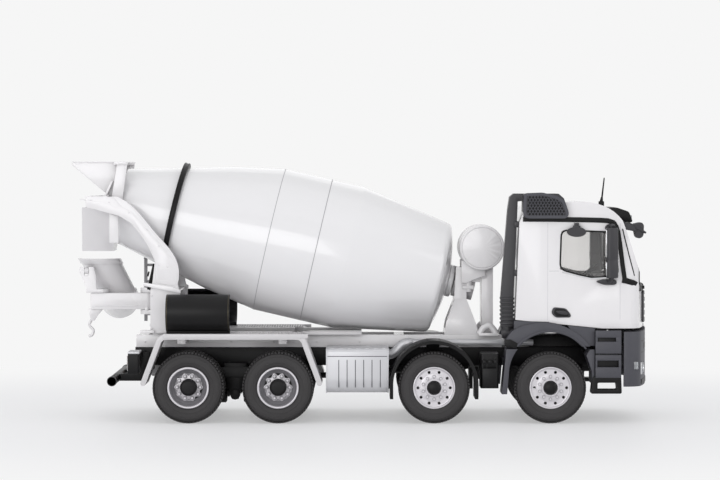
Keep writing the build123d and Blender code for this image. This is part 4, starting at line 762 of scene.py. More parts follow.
@dataclass
class Studio:
    """The photograph's studio: camera, pale floor and soft lamps.

    Args:
        camera_y: The camera's distance beside the truck.
        camera_z: Its height.
        pitch: How far it looks down, in degrees.
        lens: Its focal length for a film 36 mm wide.
        backdrop: sRGB hex colour of the background.
        floor_half: Half the floor's width.
    """

    camera_y: float = -765.0
    camera_z: float = 74.2
    pitch: float = 1.463
    lens: float = 123.35
    backdrop: str = "#F6F6F6"
    floor_half: float = 3000.0

    def build(self) -> None:
        """Make the camera, the lamps, the world and the floor."""
        scene = bpy.context.scene
        scene.view_settings.view_transform = "Standard"
        data = bpy.data.cameras.new("camera")
        data.lens, data.sensor_width = self.lens, 36.0
        data.clip_start, data.clip_end = 0.01, 20.0
        camera = linked("camera", data)
        camera.location = (0, self.camera_y * MM, self.camera_z * MM)
        camera.rotation_euler = (math.radians(90 - self.pitch), 0, 0)
        scene.camera = camera
        self.lamp("soft_box_above", (0.05, -0.2, 0.75), (0, 0, 0.03), 1.1, 0.8, 0.6)
        self.lamp("soft_box_front", (-0.4, -1.0, 0.16), (0, 0, 0.04), 1.0, 0.6, 4.2)
        self.lamp("soft_box_side", (0.95, -0.6, 0.4), (0, 0, 0.04), 0.8, 0.7, 1.6)
        self.lamp("soft_box_back", (-0.2, 0.9, 0.6), (0, 0, 0.04), 0.9, 0.6, 0.6)
        self.world()
        self.floor()

    def lamp(self, name: str, place: Place, aim: Place, width: float, height: float, power: float) -> None:
        """Add one soft box that aims at a point, in metres and watts."""
        data = bpy.data.lights.new(name, "AREA")
        data.shape, data.size, data.size_y, data.energy = "RECTANGLE", width, height, power
        lamp = linked(name, data)
        lamp.location = place
        lamp.rotation_euler = (Vector(aim) - Vector(place)).to_track_quat("-Z", "Y").to_euler()

    def seen(self, tree: bpy.types.NodeTree) -> bpy.types.NodeSocket:
        """Whether a ray comes from the camera, a gloss or a clear part."""
        path = add_node(tree, "ShaderNodeLightPath").outputs
        first = add_node(
            tree, "ShaderNodeMath", {0: path["Is Camera Ray"], 1: path["Is Glossy Ray"]}, operation="MAXIMUM"
        )
        last = add_node(
            tree, "ShaderNodeMath", {0: first.outputs[0], 1: path["Is Transmission Ray"]}, operation="MAXIMUM"
        )
        return last.outputs[0]

    def world(self) -> None:
        """Make the world: plain fill light, and the backdrop's colour where it is seen."""
        world = bpy.data.worlds.new("studio")
        bpy.context.scene.world = world
        tree = fresh_tree(world)
        fill = add_node(tree, "ShaderNodeBackground", {"Color": linear("#F4F5F7"), "Strength": 0.76})
        seen = add_node(tree, "ShaderNodeBackground", {"Color": linear(self.backdrop), "Strength": 1.0})
        mix = add_node(
            tree, "ShaderNodeMixShader", {0: self.seen(tree), 1: fill.outputs[0], 2: seen.outputs[0]}
        )
        add_node(tree, "ShaderNodeOutputWorld", {"Surface": mix.outputs[0]})

    def floor(self) -> None:
        """Make the floor, which keeps the shadow near the truck, lightened there by painted light, and turns
        into the backdrop further out.
        """
        sheet = Form()
        half = self.floor_half
        sheet.faces([(-half, -half, 0), (half, -half, 0), (half, half, 0), (-half, half, 0)], [(0, 1, 2, 3)])
        floor = sheet.piece("floor", ())
        paper = bpy.data.materials.new("paper")
        tree = fresh_tree(paper)
        spot = add_node(tree, "ShaderNodeTexCoord").outputs["Object"]
        flat = add_node(tree, "ShaderNodeMapping", {"Vector": spot, "Scale": (1.0, 1.6, 1.0)})
        far = add_node(tree, "ShaderNodeVectorMath", {0: flat.outputs[0]},
                       operation="LENGTH").outputs["Value"]
        # Painted light: to the camera the floor glows with no less than 0.42 of the backdrop's colour, even
        # in the truck's shadow, which lightens that shadow.
        fade = add_node(
            tree,
            "ShaderNodeMapRange",
            {"Value": far, "From Min": 0.13, "From Max": 0.34, "To Min": 0.42},
            interpolation_type="SMOOTHSTEP",
        )
        seen = add_node(
            tree, "ShaderNodeMath", {0: fade.outputs[0], 1: self.seen(tree)}, operation="MULTIPLY"
        ).outputs[0]
        matt = add_node(
            tree, "ShaderNodeBsdfPrincipled", {"Base Color": linear("#F1F1F3"), "Roughness": 0.55}
        )
        glow = add_node(tree, "ShaderNodeEmission", {"Color": linear(self.backdrop), "Strength": 1.0})
        mix = add_node(tree, "ShaderNodeMixShader", {0: seen, 1: matt.outputs[0], 2: glow.outputs[0]})
        add_node(tree, "ShaderNodeOutputMaterial", {"Surface": mix.outputs[0]})
        floor.data.materials.append(paper)


@dataclass
class Wheels:
    """Tyres with their tread, and the dressed rims.

    Args:
        axle_x: Places of the axles along the truck.
        axle_z: Their height.
        face_y: Distance of the tyres' outer walls from the truck's middle.
        front_width: Width of a steered tyre.
        rear_width: Width of a driven tyre.
        twin_gap: Gap between twin tyres.
        outer: Radius over the lugs.
        bead: Radius of the rims.
        lug_count: Lugs in each row.
        lug_depth: Depth of the tread.
        nut_count: Nuts and hand holes of each wheel.
        front_nuts: Radius of the circle of the steered wheels' nuts.
        rear_nuts: Radius of the circle of the driven wheels' nuts.
        cap_bolts: Radius of the circle of the hub caps' bolts.
    """

    axle_x: tuple[float, ...] = AXLES_X
    axle_z: float = 10.8
    face_y: float = 25.0
    front_width: float = 6.4
    rear_width: float = 5.6
    twin_gap: float = 0.9
    outer: float = 10.8
    bead: float = 6.3
    lug_count: int = 66
    lug_depth: float = 0.42
    nut_count: int = 10
    front_nuts: float = 3.42
    rear_nuts: float = 3.5
    cap_bolts: float = 1.9

    def build(self) -> None:
        """Make all wheels."""
        for number in (1, 2):
            for side in Side:
                self.front_wheel(number, side)
        for number in (3, 4):
            self.rear_wheels(number)

    def circle(self, x: float, y: float, s: int, reach: float, turns: Sequence[float]) -> list[Setting]:
        """Settings on a circle about an axle.

        Args:
            x: The axle's place.
            y: The circle's place across the truck.
            s: The sign of the side that they face.
            reach: The circle's radius.
            turns: Their angles.

        Returns:
            The settings.
        """
        return [
            ((x + reach * math.cos(a), y, self.axle_z + reach * math.sin(a)), (0, s, 0), (1, 0, 0))
            for a in turns
        ]

    def tyre_profile(self, width: float) -> list[Flat]:
        """Half section of a tyre on both sides of its middle, with the ribs of its walls."""
        h, r = width / 2, self.outer
        wall = [
            (h - 0.75, self.bead), (h - 0.5, self.bead + 0.05), (h - 0.32, self.bead + 0.35),
            (h - 0.12, self.bead + 0.9), (h - 0.06, 7.55), (h, 7.62), (h, 7.78), (h - 0.06, 7.86),
            (h - 0.03, 8.6), (h - 0.1, 9.15), (h - 0.02, 9.24), (h - 0.04, 9.42), (h - 0.18, 9.5),
            (h - 0.36, 9.95), (h - 0.72, 10.24), (h - 1.2, r - self.lug_depth),
        ]
        return [*wall, *((-t, q) for t, q in reversed(wall))]

    def tyre(self, name: str, x: float, y: float, width: float) -> bpy.types.Object:
        """Make one tyre about its middle at y, with rows of lugs round it."""
        form = Form()
        form.lathe(self.tyre_profile(width), (x, y, self.axle_z), (0, 1, 0), 96)
        carcass = form.piece(name, (RUBBER,))
        half = width / 2
        lugs = []
        for k in range(self.lug_count):
            for row, (offset, phase) in enumerate(((-0.66, 0.0), (-0.2, 0.5), (0.2, 0.0), (0.66, 0.5))):
                angle = FULL_TURN * (k + phase) / self.lug_count
                out = (math.cos(angle), 0.0, math.sin(angle))
                lean = 0.3 if row % 2 else -0.3
                way = (-math.sin(angle) * lean, 1.0, math.cos(angle) * lean)
                lift = self.outer - self.lug_depth / 2 - (0.1 if abs(offset) > 0.5 else 0.0)
                lugs.append(((x + out[0] * lift, y + offset * half, self.axle_z + out[2] * lift), out, way))
        tread = Repeat(Stamp.BLOCK, 0.42 * half, self.lug_depth, 0.62).at(f"{name}_lugs", lugs, RUBBER)
        return joined(name, (carcass, tread))

    def front_wheel(self, number: int, side: Side) -> None:
        """Make a steered wheel: its tyre, its rim, ten nuts and the hub cap."""
        x, s = self.axle_x[number - 1], side.value
        body = f"wheel_{number}_{side.word}"
        tyre = self.tyre(f"front_tyre_{number}_{side.word}", x, s * (self.face_y - self.front_width / 2),
                         self.front_width)
        ride(tyre, body, "tyre_rubber", f"tyre_{number}_{side.word}")

        rim = Form()
        face = self.face_y - 0.9
        out = (0, s, 0)
        centre = (x, 0, self.axle_z)
        rim_in, disc_in, hub_in, barrel = self.face_y - 5.9, face - 0.8, self.face_y - 4.2, self.bead - 0.5
        rim.lathe(
            [(hub_in, 1.06), (hub_in, 2.4), (disc_in, 2.4), (disc_in, 4.3)], centre, out, 60, closed=False
        )
        rim.lathe(
            [(disc_in, 5.42), (disc_in, barrel), (rim_in, barrel), (rim_in, self.bead),
             (face + 0.55, self.bead), (face + 0.62, 6.1), (face + 0.5, 5.9), (face + 0.08, 5.74),
             (face, 5.42)],
            centre, out, 60, closed=False,
        )
        rim.lathe(
            [(face, 4.3), (face + 0.05, 4.24), (face + 0.1, 4.12), (face + 0.1, 2.86), (face + 0.2, 2.74),
             (face + 0.3, 2.6), (face + 0.3, 2.2), (face, 2.06), (hub_in + 0.5, 2.0)],
            centre, out, 60, closed=False,
        )
        self.holed_ring(rim, x, s, (face, disc_in), (4.3, 5.42))
        rim.finish = 1
        rim.lathe(
            [(face, 2.06), (face + 0.7, 2.0), (face + 1.15, 1.72), (face + 1.4, 1.2), (face + 1.5, 0.6),
             (face + 1.52, 0)],
            centre, out, 40, closed=False,
        )
        dressing = rim.piece(f"front_rim_{number}_{side.word}", (RIM, BLACK))
        turns = [FULL_TURN * (k + 0.5) / self.nut_count for k in range(self.nut_count)]
        seats = Repeat(Stamp.DISC, 0.98, 0.24).at(
            f"front_nut_seats_{number}_{side.word}",
            self.circle(x, s * (face + 0.1), s, self.front_nuts, turns),
            SEAM,
        )
        nuts = Repeat(Stamp.BOLT, 0.7, 0.6).at(
            f"front_nuts_{number}_{side.word}",
            self.circle(x, s * (face + 0.3), s, self.front_nuts, turns),
            RIM,
        )
        ride(joined(dressing.name, (dressing, seats, nuts)), body, "rim_silver", f"rim_{number}_{side.word}")

    def holed_ring(self, form: Form, x: float, s: int, depths: Flat, radii: Flat) -> None:
        """Add the rim's flat ring with ten holes through it.

        Args:
            form: The form that gets the ring.
            x: The wheel's place.
            s: The side's sign.
            depths: Distances of its two faces from the truck's middle.
            radii: Its inner and outer radius.
        """
        hole, reach, sector = 0.46, 4.86, FULL_TURN / self.nut_count

        def spot(point: Flat, middle: float, depth: float) -> Place:
            """Turn a flat point about the axle and set it at a depth."""
            u, v = point
            return (
                x + u * math.cos(middle) - v * math.sin(middle),
                s * depth,
                self.axle_z + u * math.sin(middle) + v * math.cos(middle),
            )

        edge = [(radii[1], sector * (step / 8 - 0.5)) for step in range(9)]
        edge += [(radii[0], sector * (0.5 - step / 8)) for step in range(9)]
        outer, inner = [], []
        for r, angle in edge:
            u, v = r * math.cos(angle), r * math.sin(angle)
            way = math.atan2(v, u - reach)
            outer.append((u, v))
            inner.append((reach + hole * math.cos(way), hole * math.sin(way)))
        for k in range(self.nut_count):
            walls = []
            for depth in depths:
                rims = [[spot(p, k * sector, depth) for p in (*line, line[0])] for line in (outer, inner)]
                form.loft(rims, ends=False, around=False)
                walls.append(rims[1])
            form.finish = 1
            form.loft(walls, ends=False, around=False)
            form.finish = 0
        bmesh.ops.remove_doubles(form.mesh, verts=form.mesh.verts, dist=1e-3)

    def rear_wheels(self, number: int) -> None:
        """Make a driven axle's four tyres and its dressed twin rims."""
        x = self.axle_x[number - 1]
        middle = self.face_y - self.rear_width / 2
        places = [s.value * (middle - k * (self.rear_width + self.twin_gap)) for s in Side for k in (0, 1)]
        tyres = [self.tyre(f"rear_tyre_{number}_{k}", x, y, self.rear_width) for k, y in enumerate(places)]
        ride(joined(f"rear_tyres_{number}", tyres), f"axle_{number}", "tyre_rubber", f"twin_tyres_{number}")

        def ring_dish_or_hub(spot: Vector) -> int:
            """Bright lip, grey dish and dark hub."""
            reach = math.hypot(spot.x - x, spot.z - self.axle_z)
            depth = self.face_y - abs(spot.y)
            if depth > 4.0 or (depth < 0.5 and reach > 3):
                return 0
            return 2 if reach < 2.62 else 1

        softened(f"twin_rims_{number}", f"axle_{number}", (RIM, DISH, BLACK), 0.1, ring_dish_or_hub)
        for side in Side:
            self.star(number, x, side)

    def star(self, number: int, x: float, side: Side) -> None:
        """Make the ten-lobed flange with its nuts, the bright lip and the hub's ribs."""
        s = side.value
        floor_y = self.face_y - 3.4
        out = (0, s, 0)
        form = Form()
        lobes = []
        for k in range(120):
            angle = FULL_TURN * k / 120
            reach = 3.95 + 0.45 * math.cos(self.nut_count * angle)
            lobes.append((x + reach * math.cos(angle), self.axle_z + reach * math.sin(angle)))
        form.prism(lobes, s * (floor_y - 0.1), s * (floor_y + 0.55))
        form.lathe(
            [(self.face_y - 0.6, 5.55), (self.face_y - 0.1, 5.7), (self.face_y + 0.02, 5.95),
             (self.face_y - 0.12, 6.24), (self.face_y - 0.6, 6.28)],
            (x, 0, self.axle_z), out, 72,
        )
        form.finish = 1
        form.lathe(
            [(floor_y, 0), (floor_y, 2.62), (floor_y + 1.8, 2.56), (floor_y + 2.5, 2.3), (floor_y + 2.8, 1.7),
             (floor_y + 2.8, 0)],
            (x, 0, self.axle_z), out, 40, closed=False,
        )
        form.lathe([(floor_y + 2.7, 0), (floor_y + 2.7, 1.0), (floor_y + 2.95, 0.85), (floor_y + 2.95, 0)],
                   (x, 0, self.axle_z), out, 24, closed=False)
        flange = form.piece(f"rear_hub_{number}_{side.word}", (RIM, BLACK), 0.06)
        turns = [FULL_TURN * k / self.nut_count for k in range(self.nut_count)]
        nuts = Repeat(Stamp.BOLT, 0.72, 0.8).at(
            f"rear_nuts_{number}_{side.word}",
            self.circle(x, s * (floor_y + 0.8), s, self.rear_nuts, turns),
            RIM,
        )
        hub_bolts = Repeat(Stamp.BOLT, 0.4, 0.3).at(
            f"hub_bolts_{number}_{side.word}",
            self.circle(x, s * (floor_y + 2.62), s, self.cap_bolts, turns[::2]),
            BLACK,
        )
        ride(joined(flange.name, (flange, nuts, hub_bolts)), f"axle_{number}", "rim_silver")


@dataclass
class Drum:
    """The drum's skin with its seams, its mouth and flights, and the roller ring.

    Args:
        middle: Where its axis starts to count.
        tilt: The axis's fall to the front, in degrees.
        wall: Thickness of the skin.
        steps: Faces around.
        seams: Where the drum's halves meet, along the axis.
        skin: Outer skin as distance along the axis and radius.
        ring_t: The roller ring's place along the axis.
        ring_radius: Its radius.
        ring_width: Its width.
    """

    middle: Place = (-20.7, 0.0, 53.25)
    tilt: float = 13.0
    wall: float = 0.9
    steps: int = 144
    seams: tuple[float, ...] = (-7.4, 7.4)
    skin: tuple[Flat, ...] = ((-55.0, 11.4), (-23.0, 19.5), (-7.4, 22.4), (17.6, 22.4), (45.0, 17.4))
    ring_t: float = -37.5
    ring_radius: float = 17.3
    ring_width: float = 1.6

    @property
    def axis(self) -> Vector:
        """The drum's axis, to the front and down."""
        return Vector((math.cos(math.radians(self.tilt)), 0, -math.sin(math.radians(self.tilt))))

    def radius(self, t: float) -> float:
        """The skin's radius at t along the axis."""
        for (t0, r0), (t1, r1) in zip(self.skin, self.skin[1:]):
            if t <= t1:
                return r0 + (r1 - r0) * (t - t0) / (t1 - t0)
        return self.skin[-1][1]

    def profile(self) -> list[Flat]:
        """The whole closed section: skin, seams, head and the inside."""
        outside = [(-55.0, 10.5), (-55.0, 11.25), (-54.9, 11.4)]
        for (t0, r0), (t1, r1) in zip(self.skin, self.skin[1:]):
            cuts = sorted({t0 + 0.12, *(s + d for s in self.seams for d in (-0.12, 0.0, 0.12) if t0 < s < t1),
                           t1 - 0.12})
            for t in cuts:
                depth = 0.1 if any(abs(t - s) < 0.05 for s in self.seams) else 0.0
                outside.append((t, self.radius(t) - depth))
        head = [(45.9, 17.15), (46.5, 16.55), (46.85, 15.9), (47.0, 15.3), (47.9, 12.0), (48.8, 7.65),
                (49.3, 4.0), (49.5, 0.0)]
        inside = [(48.6, 0.0), (46.1, 14.4), (44.1, 16.5), (17.6, 21.5), (-7.4, 21.5), (-23.0, 18.6),
                  (-55.0, 10.5)]
        return [*outside[:-1], (44.9, 17.42), *head, *inside[:-1]]

    def build(self) -> None:
        """Make the drum, its flights, its flange and its ring."""
        form = Form()
        form.lathe(self.profile(), self.middle, self.axis, self.steps)
        skin = form.piece("drum_skin", (DRUM_WHITE,), 0)
        flange = Form()
        flange.lathe([(49.2, 0), (49.2, 5.0), (50.4, 5.0), (50.7, 4.7), (50.7, 0)], self.middle, self.axis,
                     64, closed=False)
        flange.lathe([(50.6, 0), (50.6, 1.6), (54.7, 1.6), (54.7, 0)], self.middle, self.axis, 32,
                     closed=False)
        plate = flange.piece("drum_flange", (DRUM_WHITE,), 0.08)
        lines = Form()
        for t in self.seams:
            near, far = t - 0.09, t + 0.09
            lines.lathe(
                [(near, self.radius(near) + 0.015), (far, self.radius(far) + 0.015),
                 (far, self.radius(far) - 0.3), (near, self.radius(near) - 0.3)],
                self.middle, self.axis, self.steps,
            )
        seams = lines.piece("drum_seams", (SEAM,), 0)
        ride(joined("drum_skin", (skin, plate, seams)), "drum", "drum_paint", "drum_shell")
        self.flights()
        self.ring()

    def at(self, t: float, radius: float, angle: float) -> Vector:
        """A point by its distance along the axis, its radius and its angle."""
        across = Vector((0, 1, 0))
        up = across.cross(self.axis) * -1
        out = math.cos(angle) * across + math.sin(angle) * up
        return Vector(self.middle) + t * self.axis + radius * out

    def flights(self) -> None:
        """Make the two spiral flights that show in the mouth."""
        form = Form()
        for start in (0.0, math.pi):
            rings = []
            for step in range(73):
                angle = start + step * math.radians(10)
                t = -54.4 + 26.0 * step / 72
                out = self.radius(t) - self.wall + 0.2
                rings.append(
                    [self.at(t, out, angle), self.at(t + 0.5, out, angle), self.at(t + 0.9, out - 4.2, angle),
                     self.at(t + 0.4, out - 4.2, angle)]
                )
            form.loft(rings)
        form.lay("drum_flights", "drum", PALE, slot="drum_paint")

    def ring(self) -> None:
        """Make the black roller ring with its two raised edges."""
        t0, t1 = self.ring_t - self.ring_width / 2, self.ring_t + self.ring_width / 2
        r = self.ring_radius
        low = self.radius(t0) - 0.3
        form = Form()
        form.lathe(
            [(t0, low), (t0, r - 0.12), (t0 + 0.12, r), (t0 + 0.4, r), (t0 + 0.5, r - 0.12),
             (t1 - 0.5, r - 0.12), (t1 - 0.4, r), (t1 - 0.12, r), (t1, r - 0.12), (t1, low)],
            self.middle, self.axis, self.steps,
        )
        form.lay("roller_ring", "drum", BLACK, slot="black_paint", nodes=("drum_ring",))


class Skin:
    """The outer skin of a CAD node, on which small parts are laid."""

    def __init__(self, node: str) -> None:
        """Read the node's mesh."""
        mesh = bmesh.new()
        mesh.from_mesh(bpy.data.objects[node].data)
        self.tree = BVHTree.FromBMesh(mesh)
        mesh.free()

    def hit(self, start: Place, way: Place) -> Vector | None:
        """Where a ray meets the skin, in millimetres."""
        spot = self.tree.ray_cast(Vector(start) * MM, Vector(way))[0]
        return spot / MM if spot else None

    def side(self, x: float, z: float, sign: int, fallback: float = 23.0) -> Vector:
        """The skin's point at x and z, seen from one side."""
        return self.hit((x, sign * 60, z), (0, -sign, 0)) or Vector((x, sign * fallback, z))

    def front(self, y: float, z: float) -> Vector:
        """The skin's point at y and z, seen from the front."""
        return self.hit((200, y, z), (-1, 0, 0)) or Vector((84, y, z))

    def along(self, line: Sequence[Flat], sign: int, step: float) -> list[Vector]:
        """Points of one side's skin along a line of x and z, no further apart than a step."""
        return [self.side(x, z, sign) for x, z in dense(line, step)]

    def across(self, half: float, z: float, step: float) -> list[Vector]:
        """Points of the front skin at one height, from one side to the other."""
        return [self.front(y, z) for y, _ in dense([(-half, 0), (half, 0)], step)]


def band(
    form: Form, path: Sequence[Sequence[float]], out: Place, width: float, lift: float, sink: float = 0.3,
    closed: bool = False
) -> None:
    """Add a flat band along a path, half sunk in what it lies on.

    Args:
        form: The form that gets the band.
        path: Points of its middle line.
        out: The way it faces.
        width: Its width.
        lift: How far it stands out.
        sink: How far it goes in.
        closed: Whether its ends meet.
    """
    facing = Vector(out).normalized()
    rings = []
    count = len(path)
    for i, spot in enumerate(path):
        before = path[(i - 1) % count if closed else max(i - 1, 0)]
        after = path[(i + 1) % count if closed else min(i + 1, count - 1)]
        across = (Vector(after) - Vector(before)).normalized().cross(facing).normalized() * (width / 2)
        middle = Vector(spot)
        rings.append(
            [middle + across - facing * sink, middle + across + facing * lift,
             middle - across + facing * lift,
             middle - across - facing * sink]
        )
    form.loft([*rings, rings[0]] if closed else rings, ends=not closed)
    bmesh.ops.remove_doubles(form.mesh, verts=form.mesh.verts, dist=1e-4)


def rounded_outline(corners: Sequence[Flat], radius: float, steps: int = 5) -> list[Flat]:
    """Round the corners of a closed outline.

    Args:
        corners: Its corners.
        radius: How far from each corner the rounding starts.
        steps: Steps round each corner.

    Returns:
        The points of the rounded outline.
    """
    line = []
    count = len(corners)
    for i, corner in enumerate(corners):
        spot = Vector(corner)
        before, after = Vector(corners[i - 1]) - spot, Vector(corners[(i + 1) % count]) - spot
        start = spot + before.normalized() * min(radius, before.length / 2)
        end = spot + after.normalized() * min(radius, after.length / 2)
        for step in range(steps + 1):
            t = step / steps
            line.append(tuple(start * (1 - t) ** 2 + 2 * spot * t * (1 - t) + end * t**2))
    return line


def dense(points: Sequence[Sequence[float]], step: float = 1.0) -> list[tuple[float, ...]]:
    """Put more points on a line, no further apart than a step."""
    line = []
    for a, b in zip(points, points[1:]):
        first, last = Vector(a), Vector(b)
        parts = max(1, math.ceil((last - first).length / step))
        line.extend(tuple(first.lerp(last, k / parts)) for k in range(parts))
    return [*line, tuple(points[-1])]


@dataclass
class Cut:
    """A plane that cuts the faces of a copy near it, so that they can take another finish.

    Args:
        axis: 0 for X, 1 for Y and 2 for Z.
        at: The plane's place on that axis, in millimetres.
        near: Which faces are cut, by their middle in millimetres.
    """

    axis: int
    at: float
    near: Callable[[Vector], bool]


def painted(
    node: str, body: str, finishes: Sequence[Finish], cuts: Sequence[Cut], rule: FaceRule,
    bevel: float = 0.14, segments: int = 2
) -> bpy.types.Object:
    """Replace a CAD node by a copy with cut lines, several finishes and rounded edges.

    Args:
        node: Name of the CAD node.
        body: The body that carries it.
        finishes: The copy's finishes.
        cuts: Where its faces are cut.
        rule: Gives the number of the finish for a face's middle, in millimetres.
        bevel: Width of the rounded edges, in millimetres.
        segments: Faces across each rounded edge.

    Returns:
        The copy.
    """
    mesh = bare_copy(node)
    for cut in cuts:
        faces = [f for f in mesh.faces if cut.near(f.calc_center_median() / MM)]
        edges = {e for f in faces for e in f.edges}
        verts = {v for f in faces for v in f.verts}
        point, normal = Vector((0, 0, 0)), Vector((0, 0, 0))
        point[cut.axis], normal[cut.axis] = cut.at * MM, 1.0
        bmesh.ops.bisect_plane(mesh, geom=[*verts, *edges, *faces], dist=1e-8, plane_co=point,
                               plane_no=normal)
    for face in mesh.faces:
        face.material_index = rule(face.calc_center_median() / MM)
    return ride(made_piece(f"{node}_dressed", mesh, finishes, bevel, segments), body, finishes[0].slot, node)


@dataclass
class Cab:
    """The cab: shut lines, seals, pillars, mirrors, intake, grille, wheel arches and steps.

    Args:
        half: Half its width.
        door_rear_x: The door's rear shut line.
        door_front_x: The door's front shut line.
        door_low_z: The door's lower end.
        door_top_z: The door's upper end.
        belt_z: Height of the bright line behind the door.
        window: Corners of the door's window, as x and z.
        screen: Corners of the windscreen, as y and z.
        arch_z: Height of the wheel arch's centre.
        arch_radius: Radius of its lip.
        pod_face: The intake pod's outer face.
        pod_mesh: Width of the openings in its mesh.
    """

    half: float = 23.0
    door_rear_x: float = 56.5
    door_front_x: float = 78.3
    door_low_z: float = 31.2
    door_top_z: float = 60.4
    belt_z: float = 45.9
    window: tuple[Flat, ...] = ((60.6, 58.2), (76.6, 57.6), (77.8, 44.4), (69.4, 43.9), (60.2, 46.4))
    screen: tuple[Flat, ...] = ((-19.8, 41.3), (19.8, 41.3), (19.8, 57.9), (-19.8, 57.9))
    arch_z: float = 14.7
    arch_radius: float = 13.25
    pod_face: float = -24.8
    pod_mesh: float = 0.84

    def build(self) -> None:
        """Make every piece of the cab."""
        self.skin = Skin("cab_shell")
        self.shell()
        for side in Side:
            self.side_trim(side)
            self.window_trim(side)
            self.handle(side)
            self.mirror(side)
            self.steps(side)
            self.arch(side)
        self.windscreen()
        self.front()
        self.roof()
        self.floor_edge()
        self.roof_lamps()
        self.pod()
        self.duct()
        self.kerb_mirrors()

    def shell(self) -> None:
        """Paint the shell, with the shut lines of its doors."""

        def on_side(spot: Vector) -> bool:
            """Whether a face's middle lies in one of the cab's sides."""
            return abs(spot.y) > self.half - 0.3

        def rule(spot: Vector) -> int:
            """Give the upright shut lines the second finish."""
            if not on_side(spot):
                return 0
            upright = min(abs(spot.x - self.door_rear_x), abs(spot.x - self.door_front_x)) < 0.05
            return 1 if upright and self.door_low_z < spot.z < self.door_top_z else 0

        cuts = [Cut(0, x + d, on_side) for x in (self.door_rear_x, self.door_front_x) for d in (-0.05, 0.05)]
        cuts += [Cut(2, z, on_side) for z in (self.door_low_z, self.door_top_z)]
        painted("cab_shell", "cab", (WHITE, FAINT), cuts, rule, 0.55, 3)

    def side_trim(self, side: Side) -> None:
        """Make the roof band, the pillar, the lines at its foot and the window's seal of one side."""
        s = side.value
        out = (0, s, 0)
        trim = Form()
        pillar = ((76.3, 60.6), (77.1, 59.3), (77.7, 57.5), (78.3, 53.5), (79.0, 48.0), (79.7, 43.2))
        roof = ((49.0, 61.5), (58.0, 61.45), (66.0, 61.35), (72.0, 61.2), (74.6, 61.05), (76.5, 60.4))
        foot = ((78.9, 43.2), (80.4, 42.9), (82.4, 42.3), (83.4, 41.7))
        edge = ((79.0, 58.6), (80.0, 54.5), (81.3, 49.5), (82.7, 44.4))
        for line, step, width, lift in (
            (pillar, 1.2, 1.35, 0.16), (roof, 2.0, 1.5, 0.18), (foot, 0.5, 1.7, 0.2), (edge, 0.8, 0.34, 0.1)
        ):
            band(trim, self.skin.along(line, s, step), out, width, lift)
        seal_line = rounded_outline(self.window, 2.0, 6)
        outline = dense([*seal_line, seal_line[0]], 1.5)[:-1]
        band(trim, [(x, s * self.half, z) for x, z in outline], out, 0.5, 0.1, 0.9, closed=True)
        trim.lay(f"side_trim_{side.word}", "cab", BLACK, bevel=0.05)

    def window_trim(self, side: Side) -> None:
        """Make the bright strips and the dark frame at the window of one side."""
        s = side.value
        out = (0, s, 0)
        bright = Form()
        low = dense([(60.9, 45.6), (65.0, 44.6), (69.6, 43.65), (77.2, 44.05)], 1.5)
        band(bright, [(x, s * (self.half + 0.06), z) for x, z in low], out, 0.3, 0.1)
        belt = [(self.door_rear_x + 0.3, self.belt_z), (59.9, self.belt_z)]
        band(bright, [(x, s * self.half, z) for x, z in belt], out, 0.12, 0.03, 0.1)
        bright.lay(f"window_strip_{side.word}", "cab", MIRROR)
        shade = Form()
        gap = [(x, s * (self.half - 0.05), z) for x, z in ((76.9, 57.3), (77.4, 51.0), (77.7, 45.0))]
        band(shade, gap, out, 1.6, 0.02, 0.9)
        shade.lay(f"window_frame_{side.word}", "cab", BLACK)

    def handle(self, side: Side) -> None:
        """Make one door handle: its dished plate and its bar."""
        s = side.value
        plate = ((58.15, 35.03), (62.0, 34.65), (63.5, 32.8), (63.35, 31.9), (58.9, 31.9), (57.55, 33.2))
        middle = Vector((60.6, 33.4))
        form = Form()
        outline = rounded_outline(plate, 0.7)
        form.prism(outline, s * (self.half - 0.3), s * (self.half + 0.28))
        form.finish = 1
        inner = [tuple(middle + (Vector(p) - middle) * 0.78) for p in outline]
        form.prism(inner, s * (self.half + 0.1), s * (self.half + 0.32))
        form.finish = 0
        bar = [(58.9, 33.9), (61.6, 34.0), (62.6, 33.3), (62.4, 32.7), (60.6, 32.9), (59.6, 33.2)]
        form.prism(rounded_outline(bar, 0.4), s * (self.half + 0.2), s * (self.half + 0.7))
        handle = form.piece(f"door_handle_{side.word}", (DARK, BLACK), 0.1)
        ride(handle, "cab", "slate_plastic", *(("cab_fittings",) if s > 0 else ()))

    def mirror(self, side: Side) -> None:
        """Make one main mirror with its two glasses, its arm and its foot."""
        s = side.value
        shell = Form()
        outline = rounded_outline([(73.7, s * 25.0), (77.2, s * 25.2), (77.3, s * 28.2), (75.4, s * 29.2),
                                   (73.7, s * 29.0)], 0.9)
        for low, high in ((49.6, 59.0), (44.0, 49.3)):
            shell.prism(outline, low, high, "Z")
        shell.prism([(x * 0.97 + 75.4 * 0.03, y * 0.97 + s * 27.1 * 0.03) for x, y in outline], 48.9, 50.0,
                    "Z")
        housing = shell.piece(f"mirror_{side.word}", (DARK,), 0.45, 3)
        arms = Form()
        arms.pipe([(76.0, s * 26.6, 59.0), (75.6, s * 25.4, 59.5), (74.6, s * 23.6, 59.2),
                   (74.4, s * 22.6, 58.9)], 0.75, 12)
        arms.pipe([(75.6, s * 26.4, 44.4), (75.2, s * 25.2, 43.3), (74.8, s * 24.0, 42.9)], 0.7, 12)
        foot = [(70.7, 42.8), (73.0, 43.5), (76.6, 43.5), (77.3, 42.7), (76.8, 41.8), (73.2, 41.8)]
        arms.prism(rounded_outline(foot, 0.9), s * (self.half - 0.2), s * (self.half + 1.5))
        arm = arms.piece(f"mirror_arms_{side.word}", (DARK,), 0.2)
        glass = Form()
        for low, high in ((50.3, 58.3), (44.7, 48.7)):
            glass.block((73.6, s * 25.6, low), (73.78, s * 28.5, high))
        pane = glass.piece(f"mirror_glass_{side.word}", (MIRROR,), 0.05)
        ride(joined(housing.name, (housing, arm)), "cab", "slate_plastic", *(("mirrors",) if s > 0 else ()))
